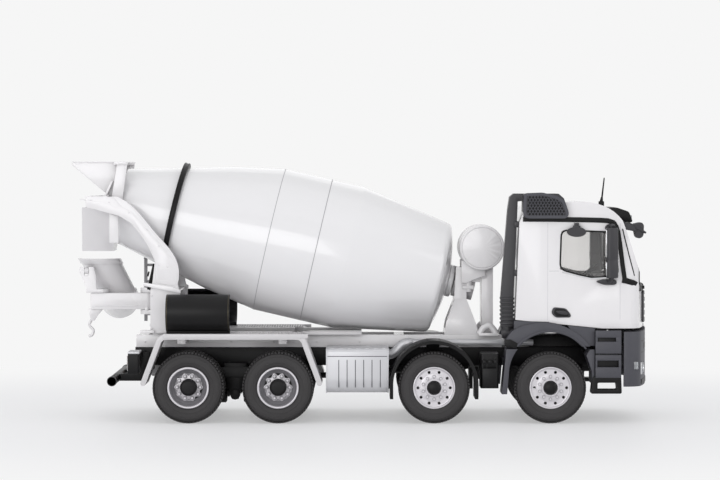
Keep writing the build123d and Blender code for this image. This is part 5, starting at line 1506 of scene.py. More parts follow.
        ride(pane, "cab", "rim_silver")

    def kerb_mirrors(self) -> None:
        """Make the kerb mirror over the right door and the front mirror at the screen's corner."""
        form = Form()
        form.lathe(
            [(0.0, 0.0), (0.1, 1.5), (0.5, 2.45), (1.2, 2.95), (1.7, 2.9), (1.9, 2.6), (1.95, 0.0)],
            (65.0, -23.4, 57.5), (0, -1, 0.25), 28, closed=False,
        )
        bmesh.ops.scale(form.mesh, vec=(1, 1, 0.52), space=Matrix.Translation((0, 0, -57.6)),
                        verts=form.mesh.verts)
        form.block((64.0, -24.6, 58.4), (66.2, -22.8, 59.6))
        form.block((64.4, -24.2, 59.3), (65.8, -22.8, 60.4))
        form.lay("kerb_mirror", "cab", DARK, bevel=0.12)
        front = Form()
        outline = rounded_outline([(82.6, 60.0), (85.0, 60.6), (86.0, 59.8), (85.8, 56.2), (84.6, 55.5),
                                   (83.4, 56.0)], 0.7)
        front.prism(outline, -18.6, -14.6)
        front.lay("front_mirror", "cab", DARK, bevel=0.3, segments=3)

    def windscreen(self) -> None:
        """Make the windscreen's seal, the dark sill below it and the wipers."""
        seal = Form()
        line = rounded_outline(self.screen, 1.8, 6)
        outline = dense([*line, line[0]], 1.2)[:-1]
        band(seal, [self.skin.front(y, z) for y, z in outline], (1, 0, 0.25), 0.8, 0.12, 0.8, closed=True)
        band(seal, self.skin.across(19.5, 40.4, 1.5), (1, 0, 0.3), 1.5, 0.2)
        for start in (-13.5, 1.5):
            foot = self.skin.front(start, 40.6) + Vector((0.4, 0, 0))
            tip = self.skin.front(start + 9.0, 41.6) + Vector((0.6, 0, 0))
            seal.pipe([foot, foot.lerp(tip, 0.5) + Vector((0.25, 0, 0.3)), tip], 0.22, 8)
            blade = [self.skin.front(start + 2.5 + k * 2.6, 41.9) + Vector((0.55, 0, 0)) for k in range(5)]
            seal.pipe(blade, 0.16, 8)
            seal.rod(tuple(foot - Vector((0.9, 0, 0))), tuple(foot + Vector((0.3, 0, 0))), 0.5, 14)
        seal.lay("screen_trim", "cab", BLACK, bevel=0.03)

    def front(self) -> None:
        """Dress the grille, darken the gaps between its slats and draw the flap's shut line."""
        painted("front_grille", "cab", (DARK, BLACK), (), lambda spot: 0, 0.12)
        back = Form()
        for k in range(4):
            z = 31.6 + 2.1 * k
            rows = [spot + Vector((0.03, 0, 0)) for spot in self.skin.across(12.9, z, 1.5)]
            band(back, rows, (1, 0, 0), 0.86, 0.05, 0.3)
        back.lay("grille_gaps", "cab", BLACK)
        lines = Form()
        band(lines, self.skin.across(21.5, 39.9, 1.2), (1, 0, 0), 0.14, 0.02, 0.2)
        lines.lay("front_flap_line", "cab", SEAM)

    def roof(self) -> None:
        """Make the visor with its side brackets, the lamp box and the aerial on its foot."""
        visor = Form()
        section = [(80.4, 60.3), (81.4, 60.5), (84.2, 59.3), (86.7, 57.5), (86.4, 57.05), (83.8, 58.5),
                   (81.0, 59.5)]
        visor.prism(section, -19.0, 19.0)
        for s in (-1, 1):
            arm = rounded_outline([(75.6, 61.6), (78.0, 61.5), (82.8, 59.2), (83.4, 57.7), (79.6, 58.4),
                                   (77.0, 60.1)], 0.8)
            visor.prism(arm, s * 18.6, s * 21.6)
        visor_piece = visor.piece("sun_visor", (DARK,), 0.2, 3)
        box = Form()
        sides = [(76.3, 64.9), (78.6, 64.9), (82.4, 63.6), (83.6, 60.5), (82.0, 60.0), (76.6, 63.0)]
        box.prism(rounded_outline(sides, 0.6), -9.5, 9.5)
        box.rod((76.0, 12.0, 64.6), (76.0, 12.0, 66.6), 0.9, 20)
        box.rod((76.0, 12.0, 66.5), (76.2, 12.0, 68.0), 0.55, 16, 0.3)
        box.rod((76.2, 12.0, 67.8), (76.9, 12.0, 74.0), 0.28, 12, 0.2)
        lamp_box = box.piece("roof_box", (BLACK,), 0.18)
        ride(joined("roof_trim_dressed", (visor_piece, lamp_box)), "cab", "slate_plastic", "roof_trim")

    def roof_lamps(self) -> None:
        """Make the two marker lamps in the lamp box."""
        lamps = Form()
        for y in (-7.4, 7.4):
            spot = Vector((83.0, y, 61.9))
            lamps.block(spot - Vector((0.3, 1.5, 0.6)), spot + Vector((0.35, 1.5, 0.6)))
        lamps.lay("roof_lamps", "cab", LENS, bevel=0.2)

    def floor_edge(self) -> None:
        """Make the dark edge of the floor under the doors."""
        floor = Form()
        floor.block((71.0, -22.2, 28.1), (79.2, 22.2, 28.75))
        floor.lay("cab_floor_edge", "cab", BLACK, bevel=0.05)

    def pod(self) -> None:
        """Dress the raised intake's pod: its frame and its mesh of crossed wires."""
        softened("air_intake", "cab", (DARK,), 0.45, segments=3)
        face = self.pod_face
        corners = ((49.6, 68.9), (54.7, 69.1), (58.9, 68.1), (61.0, 66.9), (62.3, 63.2), (61.8, 62.2),
                   (50.1, 62.2), (49.4, 63.2))
        frame = Form()
        outline = rounded_outline(corners, 0.6)
        band(frame, [(x, face, z) for x, z in outline], (0, -1, 0), 0.9, 0.14, 0.4, closed=True)
        middle = Vector((55.8, 65.6))
        inner = [middle + (Vector(p) - middle) * 0.88 for p in outline]
        back = Form()
        back.prism([tuple(p) for p in inner], face + 0.3, face - 0.03)
        back.lay("pod_dark", "cab", BLACK)
        pitch = self.pod_mesh
        for lean in (-1, 1):
            way = Vector((0.5, lean * 0.87))
            normal = Vector((-way.y, way.x))
            reach = [(p - middle).dot(normal) for p in inner]
            for k in range(math.ceil(min(reach) / pitch), math.floor(max(reach) / pitch) + 1):
                crossings = []
                for a, b in zip(inner, [*inner[1:], inner[0]]):
                    da, db = (a - middle).dot(normal) - k * pitch, (b - middle).dot(normal) - k * pitch
                    if da * db < 0:
                        crossings.append(a.lerp(b, da / (da - db)))
                if len(crossings) == 2:
                    ends = [(p.x, face - 0.04, p.y) for p in crossings]
                    band(frame, ends, (0, -1, 0), 0.24, 0.1, 0.1)
        frame.lay("pod_mesh", "cab", SLATE)

    def duct(self) -> None:
        """Make the clips on the intake's duct, its bellows and its lower pipe."""
        clips = Form()
        for z in (59.9, 45.2):
            clips.block((46.5, -21.0, z - 0.9), (48.7, -15.6, z + 0.9))
        for k in range(7):
            z = 29.6 + 1.25 * k
            clips.block((42.45, -20.95, z), (46.65, -15.05, z + 0.75))
        clips.rod((43.0, -18.0, 27.0), (47.5, -18.0, 27.6), 1.9, 20)
        clips.rod((44.4, -18.0, 30.0), (44.8, -18.0, 27.4), 2.0, 20)
        clips.lay("duct_clips", "cab", DARK, bevel=0.25)

    def arch(self, side: Side) -> None:
        """Lay a raised lip on one wheel arch, with its joint and its clip."""
        s = side.value
        form = Form()
        face = s * 24.0
        turns = [math.radians(d) for d in (139, 128, 116, 104, 92, 80, 68, 56, 44, 36)]
        rise = [(AXLES_X[0] + self.arch_radius * math.cos(a), self.arch_z + self.arch_radius * math.sin(a))
                for a in turns]
        band(form, [(x, face, z) for x, z in rise], (0, s, 0), 0.5, 0.14, 0.2)
        fill = [(46.4, 30.9), (46.4, 26.6), (48.4, 25.6), (50.4, 27.2), (53.2, 28.3), (57.0, 28.6),
                (57.0, 30.6)]
        form.prism(fill, s * 20.0, s * 23.2)
        form.lay(f"arch_lip_{side.word}", "cab", SLATE, bevel=0.08)
        seam = Form()
        seam.block((55.2, min(face, face - s * 0.1), 27.6), (55.34, max(face, face - s * 0.1) + 0.02, 30.2))
        clip = [(43.6, 23.3), (47.0, 22.7), (47.4, 24.2), (45.2, 25.4), (43.4, 25.2)]
        seam.prism(clip, s * 23.6, s * 24.25)
        seam.lay(f"arch_clip_{side.word}", "cab", BLACK, bevel=0.1)

    def steps(self, side: Side) -> None:
        """Make one pair of entry steps with its treads and the open ring below."""
        s = side.value
        rear, front = 70.8, 78.6
        form = Form()

        def slab(
            low: float, high: float, inner: float, outer: float, x0: float = rear, x1: float = front
        ) -> None:
            """Add a block between two heights and two distances from the middle."""
            form.block((x0, s * inner, low), (x1, s * outer, high))

        form.finish = 1
        slab(13.6, 27.8, 20.0, 23.5)
        form.finish = 0
        for low, high in ((25.9, 28.0), (21.1, 24.7), (19.0, 20.7), (13.8, 17.0)):
            slab(low, high, 22.6, 24.4)
        for x0, x1 in ((rear, rear + 0.7), (front - 1.6, front)):
            slab(24.5, 26.1, 22.6, 24.36, x0, x1)
        for x0, x1 in ((rear, rear + 0.6), (front - 0.8, front)):
            slab(16.8, 19.2, 22.6, 24.36, x0, x1)
        ring = rounded_outline([(rear - 1.4, 9.0), (front + 0.2, 9.0), (front, 14.2), (rear - 0.8, 14.2)],
                               0.6)
        hole = rounded_outline([(rear + 0.7, 10.3), (front - 1.3, 10.3), (front - 1.6, 12.3),
                                (rear + 0.7, 12.3)], 0.4)
        form.finish = 1
        rows = []
        for outline, y in ((hole, 20.4), (ring, 20.4), (ring, 24.3), (hole, 24.3)):
            rows.append([(x, s * y, z) for x, z in outline])
        form.loft([*rows, rows[0]], ends=False)
        bmesh.ops.remove_doubles(form.mesh, verts=form.mesh.verts, dist=1e-4)
        body = form.piece(f"entry_steps_{side.word}", (SLATE, BLACK), 0.14)
        teeth = Repeat(Stamp.BLOCK, 0.34, 0.24, 0.34).at(
            f"step_teeth_{side.word}",
            [((rear + 1.2 + 0.75 * k, s * 23.7 - s * 0.6 * j, 13.72 if level == 0 else 20.9), (0, 0, 1),
              (1, 0, 0))
             for k in range(8) for j in (0, 1) for level in (0, 1)],
            SLATE,
        )
        ride(joined(body.name, (body, teeth)), "chassis", "slate_plastic",
             *(("entry_steps",) if s > 0 else ()))


@dataclass
class Chassis:
    """Dressing of the chassis: bolts, mudguards, lamps, tanks, shafts and the guard.

    Args:
        rail_y: Distance of the rails' outer faces from the middle.
        rail_rear_x: The rearmost bolt of the rails.
        bolt_pitch: Distance between two bolts of a row.
        stand_y: Distance of the rear stand's outer faces from the middle.
        top_z: Height of the rear mudguards' tops.
        lozenge_pitch: Distance between two lozenges of the checker plate.
        lamp_y: The headlamps' inner and outer edge.
        lamp_z: Their lower and upper edge.
        fender_z: Height of the centre of the second axle's mudguards.
        silencer: Corners of the silencer's section, as y and z.
        silencer_x: Its rear and front end.
        elbow_y: The exhaust elbow's place across the truck.
    """

    rail_y: float = 8.4
    rail_rear_x: float = -66.0
    bolt_pitch: float = 6.1
    stand_y: float = 17.45
    top_z: float = 26.9
    lozenge_pitch: float = 0.8
    lamp_y: Flat = (15.2, 20.8)
    lamp_z: Flat = (14.6, 18.2)
    fender_z: float = 11.7
    silencer: tuple[Flat, ...] = (
        (-9.4, 22.6), (-23.2, 22.6), (-24.0, 21.8), (-24.0, 13.0), (-23.6, 10.6), (-22.0, 9.2), (-12.0, 9.2),
        (-9.4, 11.6),
    )
    silencer_x: Flat = (-10.0, 8.4)
    elbow_y: float = -10.95

    def build(self) -> None:
        """Make every dressing piece of the chassis."""
        self.rail_bolts()
        self.rivets()
        self.checker_plate()
        self.plates()
        self.bumper()
        self.tail()
        self.driveline()
        for side in Side:
            self.second_fender(side)
            if side is Side.LEFT:
                self.tank_straps()
            else:
                self.silencer_box()
                self.elbow()
            self.valve_caps(side)

    def rail_bolts(self) -> None:
        """Set two rows of bolts along each rail."""
        places = []
        for s in (-1, 1):
            y = s * (self.rail_y + 0.05)
            for k in range(24):
                x = self.rail_rear_x + self.bolt_pitch * k
                places.append(((x, y, 21.0), (0, s, 0), (1, 0, 0)))
                places.append(((x + 1.5, y, 17.4), (0, s, 0), (1, 0, 0)))
        ride(Repeat(Stamp.BOLT, 0.6, 0.3).at("rail_bolts", places, CHASSIS), "chassis", "black_paint")

    def rivets(self) -> None:
        """Set rivets on the rear stand's feet, along its edge and along the subframe."""
        feet = [(x, z) for x in (-63.2, -56.2) for z in (28.2, 38.2, 40.4)]
        edge = [(-60.9, 47.6), (-58.3, 47.0), (-61.0, 53.3), (-64.5, 58.3), (-70.0, 63.4), (-76.0, 66.6),
                (-81.5, 67.2)]
        places = []
        for s in (-1, 1):
            places += [((x, s * self.stand_y, z), (0, s, 0), (1, 0, 0)) for x, z in feet + edge]
            subframe = [self.rail_rear_x + 13.2 * k for k in range(9)]
            places += [((x, s * (self.rail_y + 0.05), 23.6), (0, s, 0), (1, 0, 0)) for x in subframe]
        ride(Repeat(Stamp.DOME, 0.5, 0.22).at("stand_rivets", places, WHITE), "chassis", "white_paint")

    def checker_plate(self) -> None:
        """Lay the checker plate's crossed lozenges on the rear mudguards, except under the spare chutes."""
        lozenges = []
        for s in (-1, 1):
            for i in range(52):
                for j in range(15):
                    x, y = -59.0 + self.lozenge_pitch * i, s * (12.9 + self.lozenge_pitch * j)
                    if -58.7 < x < -39.0 and abs(y) > 17.0:
                        continue
                    turn = 0.8 if (i + j) % 2 else -0.8
                    lozenges.append(((x, y, self.top_z + 0.03), (0, 0, 1), (1.0, turn, 0.0)))
        ride(Repeat(Stamp.BLOCK, 0.5, 0.1, 0.13).at("checker_plate", lozenges, PALE), "chassis", "grey_paint")

    def plates(self) -> None:
        """Make the edge strips of the rear mudguards, the walkway and the subframe's mounts."""
        edge = Form()
        for s in (-1, 1):
            edge.block((-59.2, s * 24.8, self.top_z - 1.15), (-15.6, s * 25.1, self.top_z + 0.12))
        edge.lay("fender_edges", "chassis", PALE, bevel=0.08)
        walk = Form()
        for s in (-1, 1):
            walk.block((-17.6, s * 8.6, self.top_z - 0.95), (0.5, s * 11.6, self.top_z))
        walk.lay("walkway", "chassis", PALE, bevel=0.1)
        lump = Form()
        for s in (-1, 1):
            lump.pipe([(36.6, s * 9.4, 26.0), (38.0, s * 9.4, 28.0), (40.0, s * 9.3, 28.4),
                       (41.8, s * 9.3, 26.2)], 1.0, 14)
            lump.block((36.4, s * 8.3, 25.5), (42.4, s * 10.4, 26.4))
        lump.lay("subframe_mounts", "chassis", WHITE, bevel=0.12)

    def bumper(self) -> None:
        """Dress the bumper: grooves, the dark lower lip, headlamps and side lamps."""
        softened("front_bumper", "chassis", (SLATE,), 0.5, segments=3)
        skin = Skin("front_bumper")
        trim = Form()
        for z in (24.6, 21.2):
            band(trim, skin.across(19.5, z, 1.5), (1, 0, 0), 0.3, 0.04, 0.2)
        band(trim, skin.across(20.5, 12.4, 1.5), (1, 0, 0), 1.4, 0.18, 0.3)
        for y in (-12.0, 12.0):
            row = [skin.front(y + k, 22.9) for k in (-3.2, -1.6, 0, 1.6, 3.2)]
            band(trim, row, (1, 0, 0), 1.7, 0.05, 0.2)
        trim.lay("bumper_trim", "chassis", BLACK, bevel=0.03)
        for side in Side:
            self.headlamp(side)
            blinker = Form()
            spot = skin.side(82.6, 17.4, side.value, 24.0)
            blinker.block((82.2, spot.y, 16.3), (83.8, spot.y - side.value * 0.4, 18.6))
            blinker.lay(f"side_lamp_{side.word}", "chassis", LENS, bevel=0.12)

    def headlamp(self, side: Side) -> None:
        """Make one headlamp: its box with two bowls, and its curved lens."""
        s = side.value
        (inner, outer), (low, high) = self.lamp_y, self.lamp_z
        bowl = Form()
        bowl.block((84.4, s * inner, low), (85.2, s * outer, high))
        section = [(0, 0), (0.1, 0.9), (0.9, 1.35), (1.1, 1.4), (1.1, 1.15), (0.4, 0.5), (0.35, 0)]
        for y in (inner + 1.5, outer - 1.5):
            bowl.lathe(section, (84.7, s * y, 16.4), (1, 0, 0), 28, closed=False)
        bowl.lay(f"headlamp_bowl_{side.word}", "chassis", MIRROR, bevel=0.05)
        lens = Form()
        rows = []
        for z in (low + (high - low) * k / 3 for k in range(4)):
            widths = [inner + (outer - inner) * k / 4 for k in range(5)]
            spots = [Vector((86.1 - 0.02 * (y - 15) ** 2, s * y, z)) for y in widths]
            rows.append([*spots, *(p - Vector((0.3, 0, 0)) for p in reversed(spots))])
        lens.loft(rows)
        lens.lay(f"headlamp_lens_{side.word}", "chassis", LENS, bevel=0.05)

    def tail(self) -> None:
        """Make the tail lamps' lenses, their caps and the guard's ends."""
        for side in Side:
            s = side.value
            lenses = (("red", RED, 15.4, 17.8), ("amber", AMBER, 17.9, 20.2), ("clear", LENS, 20.3, 22.6))
            for name, finish, low, high in lenses:
                lens = Form()
                lens.block((-70.25, s * low, 15.7), (-69.9, s * high, 20.3))
                lens.lay(f"tail_lens_{name}_{side.word}", "chassis", finish, bevel=0.1)
            cap = Form()
            cap.block((-70.0, s * 15.0, 20.9), (-66.5, s * 23.05, 21.6))
            cap.lay(f"tail_cap_{side.word}", "chassis", SILVER, bevel=0.15)
            tip = Form()
            tip.lathe([(22.9, 0), (22.9, 1.5), (23.9, 1.5), (24.0, 1.3), (24.0, 0)], (-74.7, 0, 12.7),
                      (0, s, 0), 28, closed=False)
            tip.lay(f"guard_cap_{side.word}", "chassis", DARK, bevel=0.05)

    def driveline(self) -> None:
        """Make the shafts, the gearbox, air tanks, pipes, bogie hangers and axle bolts seen from below."""
        form = Form()
        form.rod((50.0, 0, 17.5), (22.0, 0, 15.0), 0.9, 20)
        form.rod((22.0, 0, 15.0), (-21.0, 0, 12.0), 0.9, 20)
        form.rod((-29.0, 0, 11.4), (-47.5, 0, 11.4), 0.8, 20)
        for x, z in ((49.5, 17.4), (23.5, 15.1), (20.8, 15.0), (-19.6, 12.1), (-30.4, 11.4), (-46.2, 11.4)):
            form.rod((x - 0.7, 0, z), (x + 0.7, 0, z), 1.5, 24)
        form.block((46.0, -3.6, 14.6), (52.4, 3.6, 21.6))
        for s in (-1, 1):
            front_tank = [(0, 0), (0.1, 1.4), (0.7, 2.1), (10.3, 2.1), (10.9, 1.4), (11, 0)]
            form.lathe(front_tank, (27.0, s * 4.6, 18.6), (1, 0, 0), 28, closed=False)
            rear_tank = [(0, 0), (0.1, 1.2), (0.6, 1.8), (8.4, 1.8), (8.9, 1.2), (9, 0)]
            form.lathe(rear_tank, (-14.0, s * 4.8, 18.8), (1, 0, 0), 28, closed=False)
            form.pipe([(38.0, s * 4.6, 18.6), (42.0, s * 6.4, 19.4), (50.0, s * 6.8, 18.8),
                       (60.0, s * 7.0, 18.8)], 0.3, 8)
        for s in (-1, 1):
            hanger = [(-41.6, 17.2), (-34.8, 17.2), (-36.2, 9.4), (-37.2, 6.2), (-39.2, 6.2), (-40.2, 9.4)]
            form.prism(hanger, s * 8.5, s * 11.0)
            form.rod((-38.2, s * 8.2, 7.6), (-38.2, s * 11.6, 7.6), 1.5, 24)
            for x in (-42.6, -33.8):
                chamber = [(0, 0), (0.1, 1.5), (0.5, 1.9), (3.4, 1.9), (3.8, 1.4), (3.9, 0)]
                form.lathe(chamber, (x - 1.9, s * 10.0, 7.0), (1, 0, 0), 24, closed=False)
                form.rod((x, s * 7.6, 8.2), (x + (4.5 if x > -38 else -4.5), s * 7.6, 9.4), 0.7, 14)
        form.lay("driveline", "chassis", CHASSIS, bevel=0.12)
        places = [((x + 2.6 * math.cos(a), 2.6 * math.sin(a), 6.55), (0, 0, -1), (1, 0, 0))
                  for x in AXLES_X[2:] for a in (FULL_TURN * k / 8 for k in range(8))]
        ride(Repeat(Stamp.BOLT, 0.5, 0.4).at("axle_bolts", places, CHASSIS), "chassis", "black_paint")

    def second_fender(self, side: Side) -> None:
        """Lay raised lips on a mudguard of the second axle."""
        s = side.value
        form = Form()
        for radius, width in ((13.1, 0.5), (12.5, 0.3)):
            turns = [math.radians(a) for a in range(0, 181, 6)]
            arch = [(AXLES_X[1] + radius * math.cos(a), self.fender_z + radius * math.sin(a)) for a in turns]
            path = [(arch[0][0], 8.0), *arch, (arch[-1][0], 8.0)]
            band(form, [(x, s * 25.0, z) for x, z in path], (0, s, 0), width, 0.08, 0.3)
        form.lay(f"second_fender_lips_{side.word}", "chassis", BLACK, bevel=0.04)

    def tank_straps(self) -> None:
        """Lay two straps round the fuel tank on the left, and set its cap."""
        outline = [(8.9, 22.0), (9.2, 9.4), (11.2, 8.85), (22.0, 8.85), (24.15, 11.0), (24.15, 20.4),
                   (22.0, 22.4), (12.0, 22.6)]
        straps = Form()
        for x in (-6.2, 4.6):
            straps.prism(rounded_outline(outline, 0.8), x - 0.7, x + 0.7, "X")
        straps.rod((4.9, 19.4, 22.0), (4.9, 19.4, 23.3), 1.5, 28)
        straps.lay("tank_straps", "chassis", BLACK, bevel=0.1)

    def silencer_box(self) -> None:
        """Make the silencer on the right with its lips, hangers, slots and grooves."""
        box = Form()
        box.prism(rounded_outline(self.silencer, 0.7, 3), *self.silencer_x, "X")
        for x in (-7.0, 5.4):
            box.block((x - 1, -9.6, 17.5), (x + 1, -8.35, 20.5))
        lip = [(y * 1.004, z + (0.12 if z > 15 else -0.12)) for y, z in self.silencer]
        for x0, x1 in ((-10.25, -9.85), (8.25, 8.65)):
            box.prism(rounded_outline(lip, 0.7, 3), x0, x1, "X")
        for k in range(7):
            box.block((-9.0 + 2.6 * k, -23.0, 22.42), (-7.6 + 2.6 * k, -22.0, 22.72))
        piece = box.piece("silencer", (SILVER,), 0.18, 3)
        grooves = Form()
        for k in range(6):
            grooves.block((-6.5 + 2.5 * k, -24.03, 10.9), (-6.28 + 2.5 * k, -23.9, 19.2))
        grooves.block((-9.8, -24.03, 20.15), (8.2, -23.9, 20.35))
        lines = grooves.piece("silencer_grooves", (SLATE,))
        ride(joined("silencer", (piece, lines)), "chassis", "silver_plastic", "exhaust_box")

    def elbow(self) -> None:
        """Make the exhaust elbow in front of the silencer."""
        y = self.elbow_y
        form = Form()
        bend = ((8.2, 19.9), (9.8, 20.1), (11.4, 21.2), (13.0, 22.9), (15.2, 23.6))
        form.pipe([(x, y, z) for x, z in bend], 1.45, 18)
        form.rod((15.0, y, 23.6), (16.2, y, 23.6), 1.5, 18, 1.0)
        form.rod((8.3, y, 19.9), (9.0, y, 19.9), 1.8, 24)
        form.lay("exhaust_elbow", "chassis", SILVER, bevel=0.1)

    def valve_caps(self, side: Side) -> None:
        """Make the valve unit's three caps and its cover."""
        s = side.value
        unit = Form()
        for x in (37.4, 39.1, 40.8):
            unit.rod((x, s * 23.4, 18.6), (x, s * 24.35, 18.6), 0.72, 20, 0.6)
        unit.block((36.9, s * 23.4, 11.4), (41.3, s * 23.85, 16.6))
        unit.lay(f"valve_caps_{side.word}", "chassis", BLACK, bevel=0.1)


@dataclass
class Superstructure:
    """Dressing of the drum's stands, the hopper, the spare chutes, the chute's arm and the tank.

    Args:
        drum: The drum, whose axis carries the drive.
        stand_y: Distance of the rear stand's plates from the middle.
        tank_x: The water tank's place.
        tank_z: Its height.
        spare_y: Distance of the spare chutes' axes from the middle.
        spare_z: Their height.
        spare_radius: Their radius.
        slew_x: The arm's pivot.
    """

    drum: Drum = field(default_factory=Drum)
    stand_y: float = 17.4
    tank_x: float = 37.4
    tank_z: float = 52.5
    spare_y: float = 19.6
    spare_z: float = 33.1
    spare_radius: float = 5.6
    slew_x: float = -66.0

    def build(self) -> None:
        """Make every dressing piece above the frame."""
        self.hopper_frame()
        self.stand()
        self.tank()
        self.gearbox()
        self.spares()
        self.rollers()
        self.ladder()
        self.chute()

    def hopper_frame(self) -> None:
        """Make the slanted frame that ties the hopper to the head beam, and the hopper's rims."""
        form = Form()
        for s in (-1, 1):
            outline = [(-74.0, 78.4), (-70.9, 78.4), (-72.6, 66.0), (-76.0, 66.0)]
            form.prism(outline, s * 12.0, s * 13.3)
            form.prism([(-75.0, 78.95), (-70.8, 78.95), (-71.0, 77.9), (-75.0, 77.9)], s * 10.8, s * 13.7)
            form.prism([(-76.0, 73.0), (-75.2, 73.0), (-78.0, 66.8), (-78.8, 66.8)], s * 11.2, s * 12.6)
        form.block((-74.9, -11.2, 77.9), (-72.6, 11.2, 78.95))
        form.lay("hopper_frame", "chassis", WHITE, bevel=0.15)
        rim = Form()
        edge = [(-87.6, -11.0), (-74.1, -11.0), (-74.1, 11.0), (-87.6, 11.0)]
        path = [(x, y, 78.75) for x, y in edge]
        for a, b in zip(path, [*path[1:], path[0]]):
            rim.pipe([a, b], 0.24, 10)
        rim.lay("hopper_rim", "chassis", WHITE)

    def stand(self) -> None:
        """Lay panel outlines, edge flanges and foot plates on the rear stand."""
        form = Form()
        web = [(-83.1, 68.3), (-74.7, 68.2), (-72.2, 65.1), (-69.3, 63.7), (-66.5, 61.0), (-62.8, 56.4),
               (-58.4, 51.0), (-55.5, 47.7), (-55.5, 41.0), (-62.0, 42.1), (-62.0, 48.8), (-63.9, 53.7),
               (-67.6, 59.1), (-73.1, 62.4), (-80.1, 64.3), (-83.1, 65.0)]
        for s in (-1, 1):
            out = (0, s, 0)
            form.prism(rounded_outline(web, 0.8, 3), s * 16.6, s * 17.5)
            form.block((-76.2, s * 14.6, 54.2), (-73.4, s * 15.3, 64.4))
            panel = rounded_outline([(-61.6, 46.6), (-57.6, 46.2), (-57.3, 42.6), (-61.4, 42.9)], 0.3, 2)
            outline = [(x, s * self.stand_y, z) for x, z in dense([*panel, panel[0]], 2)[:-1]]
            band(form, outline, out, 0.3, 0.12, 0.2, closed=True)
            form.prism([(-65.6, 41.2), (-54.4, 38.9), (-54.4, 39.9), (-57.0, 41.0), (-65.6, 42.2)], s * 16.9,
                       s * 18.3)
            form.block((-66.6, s * 15.4, 26.9), (-62.4, s * 18.6, 27.7))
            ridge = dense([(-84.9, 67.4), (-78.0, 66.7), (-73.4, 64.8)], 2.0)
            band(form, [(x, s * self.stand_y, z) for x, z in ridge], out, 0.3, 0.12)
        form.lay("stand_flanges", "chassis", WHITE, bevel=0.1)

    def tank(self) -> None:
        """Make the water tank with its end faces, bands and cap, and the post and brackets under it."""
        x, z = self.tank_x, self.tank_z
        form = Form()
        form.lathe(
            [(-10, 0), (-10, 6.0), (-9.95, 6.1), (-9.7, 6.2), (-9.9, 6.3), (-9.8, 6.6), (-9.5, 6.9),
             (9.5, 6.9), (9.8, 6.6), (9.9, 6.3), (9.7, 6.2), (9.95, 6.1), (10, 6.0), (10, 0)],
            (x, 0, z), (0, 1, 0), 96, closed=False,
        )
        for y in (-5.2, 5.2):
            form.lathe([(y - 0.5, 6.7), (y - 0.5, 7.02), (y + 0.5, 7.02), (y + 0.5, 6.7)], (x, 0, z),
                       (0, 1, 0), 72)
        form.rod((x, 0, 58.8), (x, 0, 59.4), 1.4, 28)
        form.block((x, -5.0, 25.7), (x + 3.6, 5.0, 46.8))
        for s in (-1, 1):
            arm = [(31.2, 48.6), (36.0, 47.2), (38.6, 46.6), (38.5, 43.8), (36.5, 43.3), (32.7, 41.6),
                   (31.2, 41.6)]
            form.prism(arm, s * 4.6, s * 7.0)
            form.block((36.4, s * 4.2, 43.0), (38.8, s * 5.6, 46.6))
            form.rod((33.4, s * 5.2, 42.2), (33.4, s * 5.2, 38.8), 1.1, 16)
            form.rod((31.6, s * 5.6, 40.2), (35.0, s * 5.6, 40.2), 0.8, 16)
        form.block((33.0, -5.4, 41.8), (37.0, 5.4, 45.8))
        form.lay("tank", "chassis", WHITE, bevel=0.12, nodes=("water_tank",))

    def gearbox(self) -> None:
        """Make the drum drive's motor and the bolts of the drum's flange."""
        axis = tuple(self.drum.axis)
        form = Form()
        form.lathe([(60.6, 0), (60.6, 2.6), (61.2, 2.6), (61.2, 0)], self.drum.middle, axis, 28, closed=False)
        form.lay("drive_motor", "chassis", BLACK, bevel=0.1, slot="black_paint")
        spots = [(tuple(self.drum.at(50.45, 4.1, FULL_TURN * k / 12)), axis, (0, 1, 0)) for k in range(12)]
        ride(Repeat(Stamp.BOLT, 0.6, 0.5).at("flange_bolts", spots, STEEL), "drum", "drum_paint")

    def spares(self) -> None:
        """Lay thin bright rings on the spare chutes' edges."""
        form = Form()
        for s in (-1, 1):
            for x in (-58.15, -39.65):
                middle, wide = Vector((x, s * self.spare_y, self.spare_z)), Vector((0.1, 0, 0))
                rings = []
                for a in (math.radians(degrees) for degrees in range(2, 179, 8)):
                    out = Vector((0, s * math.sin(a), math.cos(a)))
                    p = middle + out * self.spare_radius
                    rings.append([p - wide - out * 0.1, p - wide + out * 0.03, p + wide + out * 0.03,
                                  p + wide - out * 0.1])
                form.loft(rings)
        form.lay("spare_chute_rings", "chassis", BRASS)

    def rollers(self) -> None:
        """Give the rollers their grease caps."""
        form = Form()
        for s in (-1, 1):
            form.rod((-64.9, s * 11.3, 44.6), (-64.5, s * 11.3, 44.5), 0.8, 20)
        form.lay("roller_caps", "chassis", CHASSIS, bevel=0.05)

    def ladder(self) -> None:
        """Make the ladder's top tread on the left."""
        form = Form()
        form.block((-68.6, 17.4, 48.2), (-60.0, 19.6, 48.7))
        form.lay("ladder_rail", "chassis", GREY, bevel=0.08)

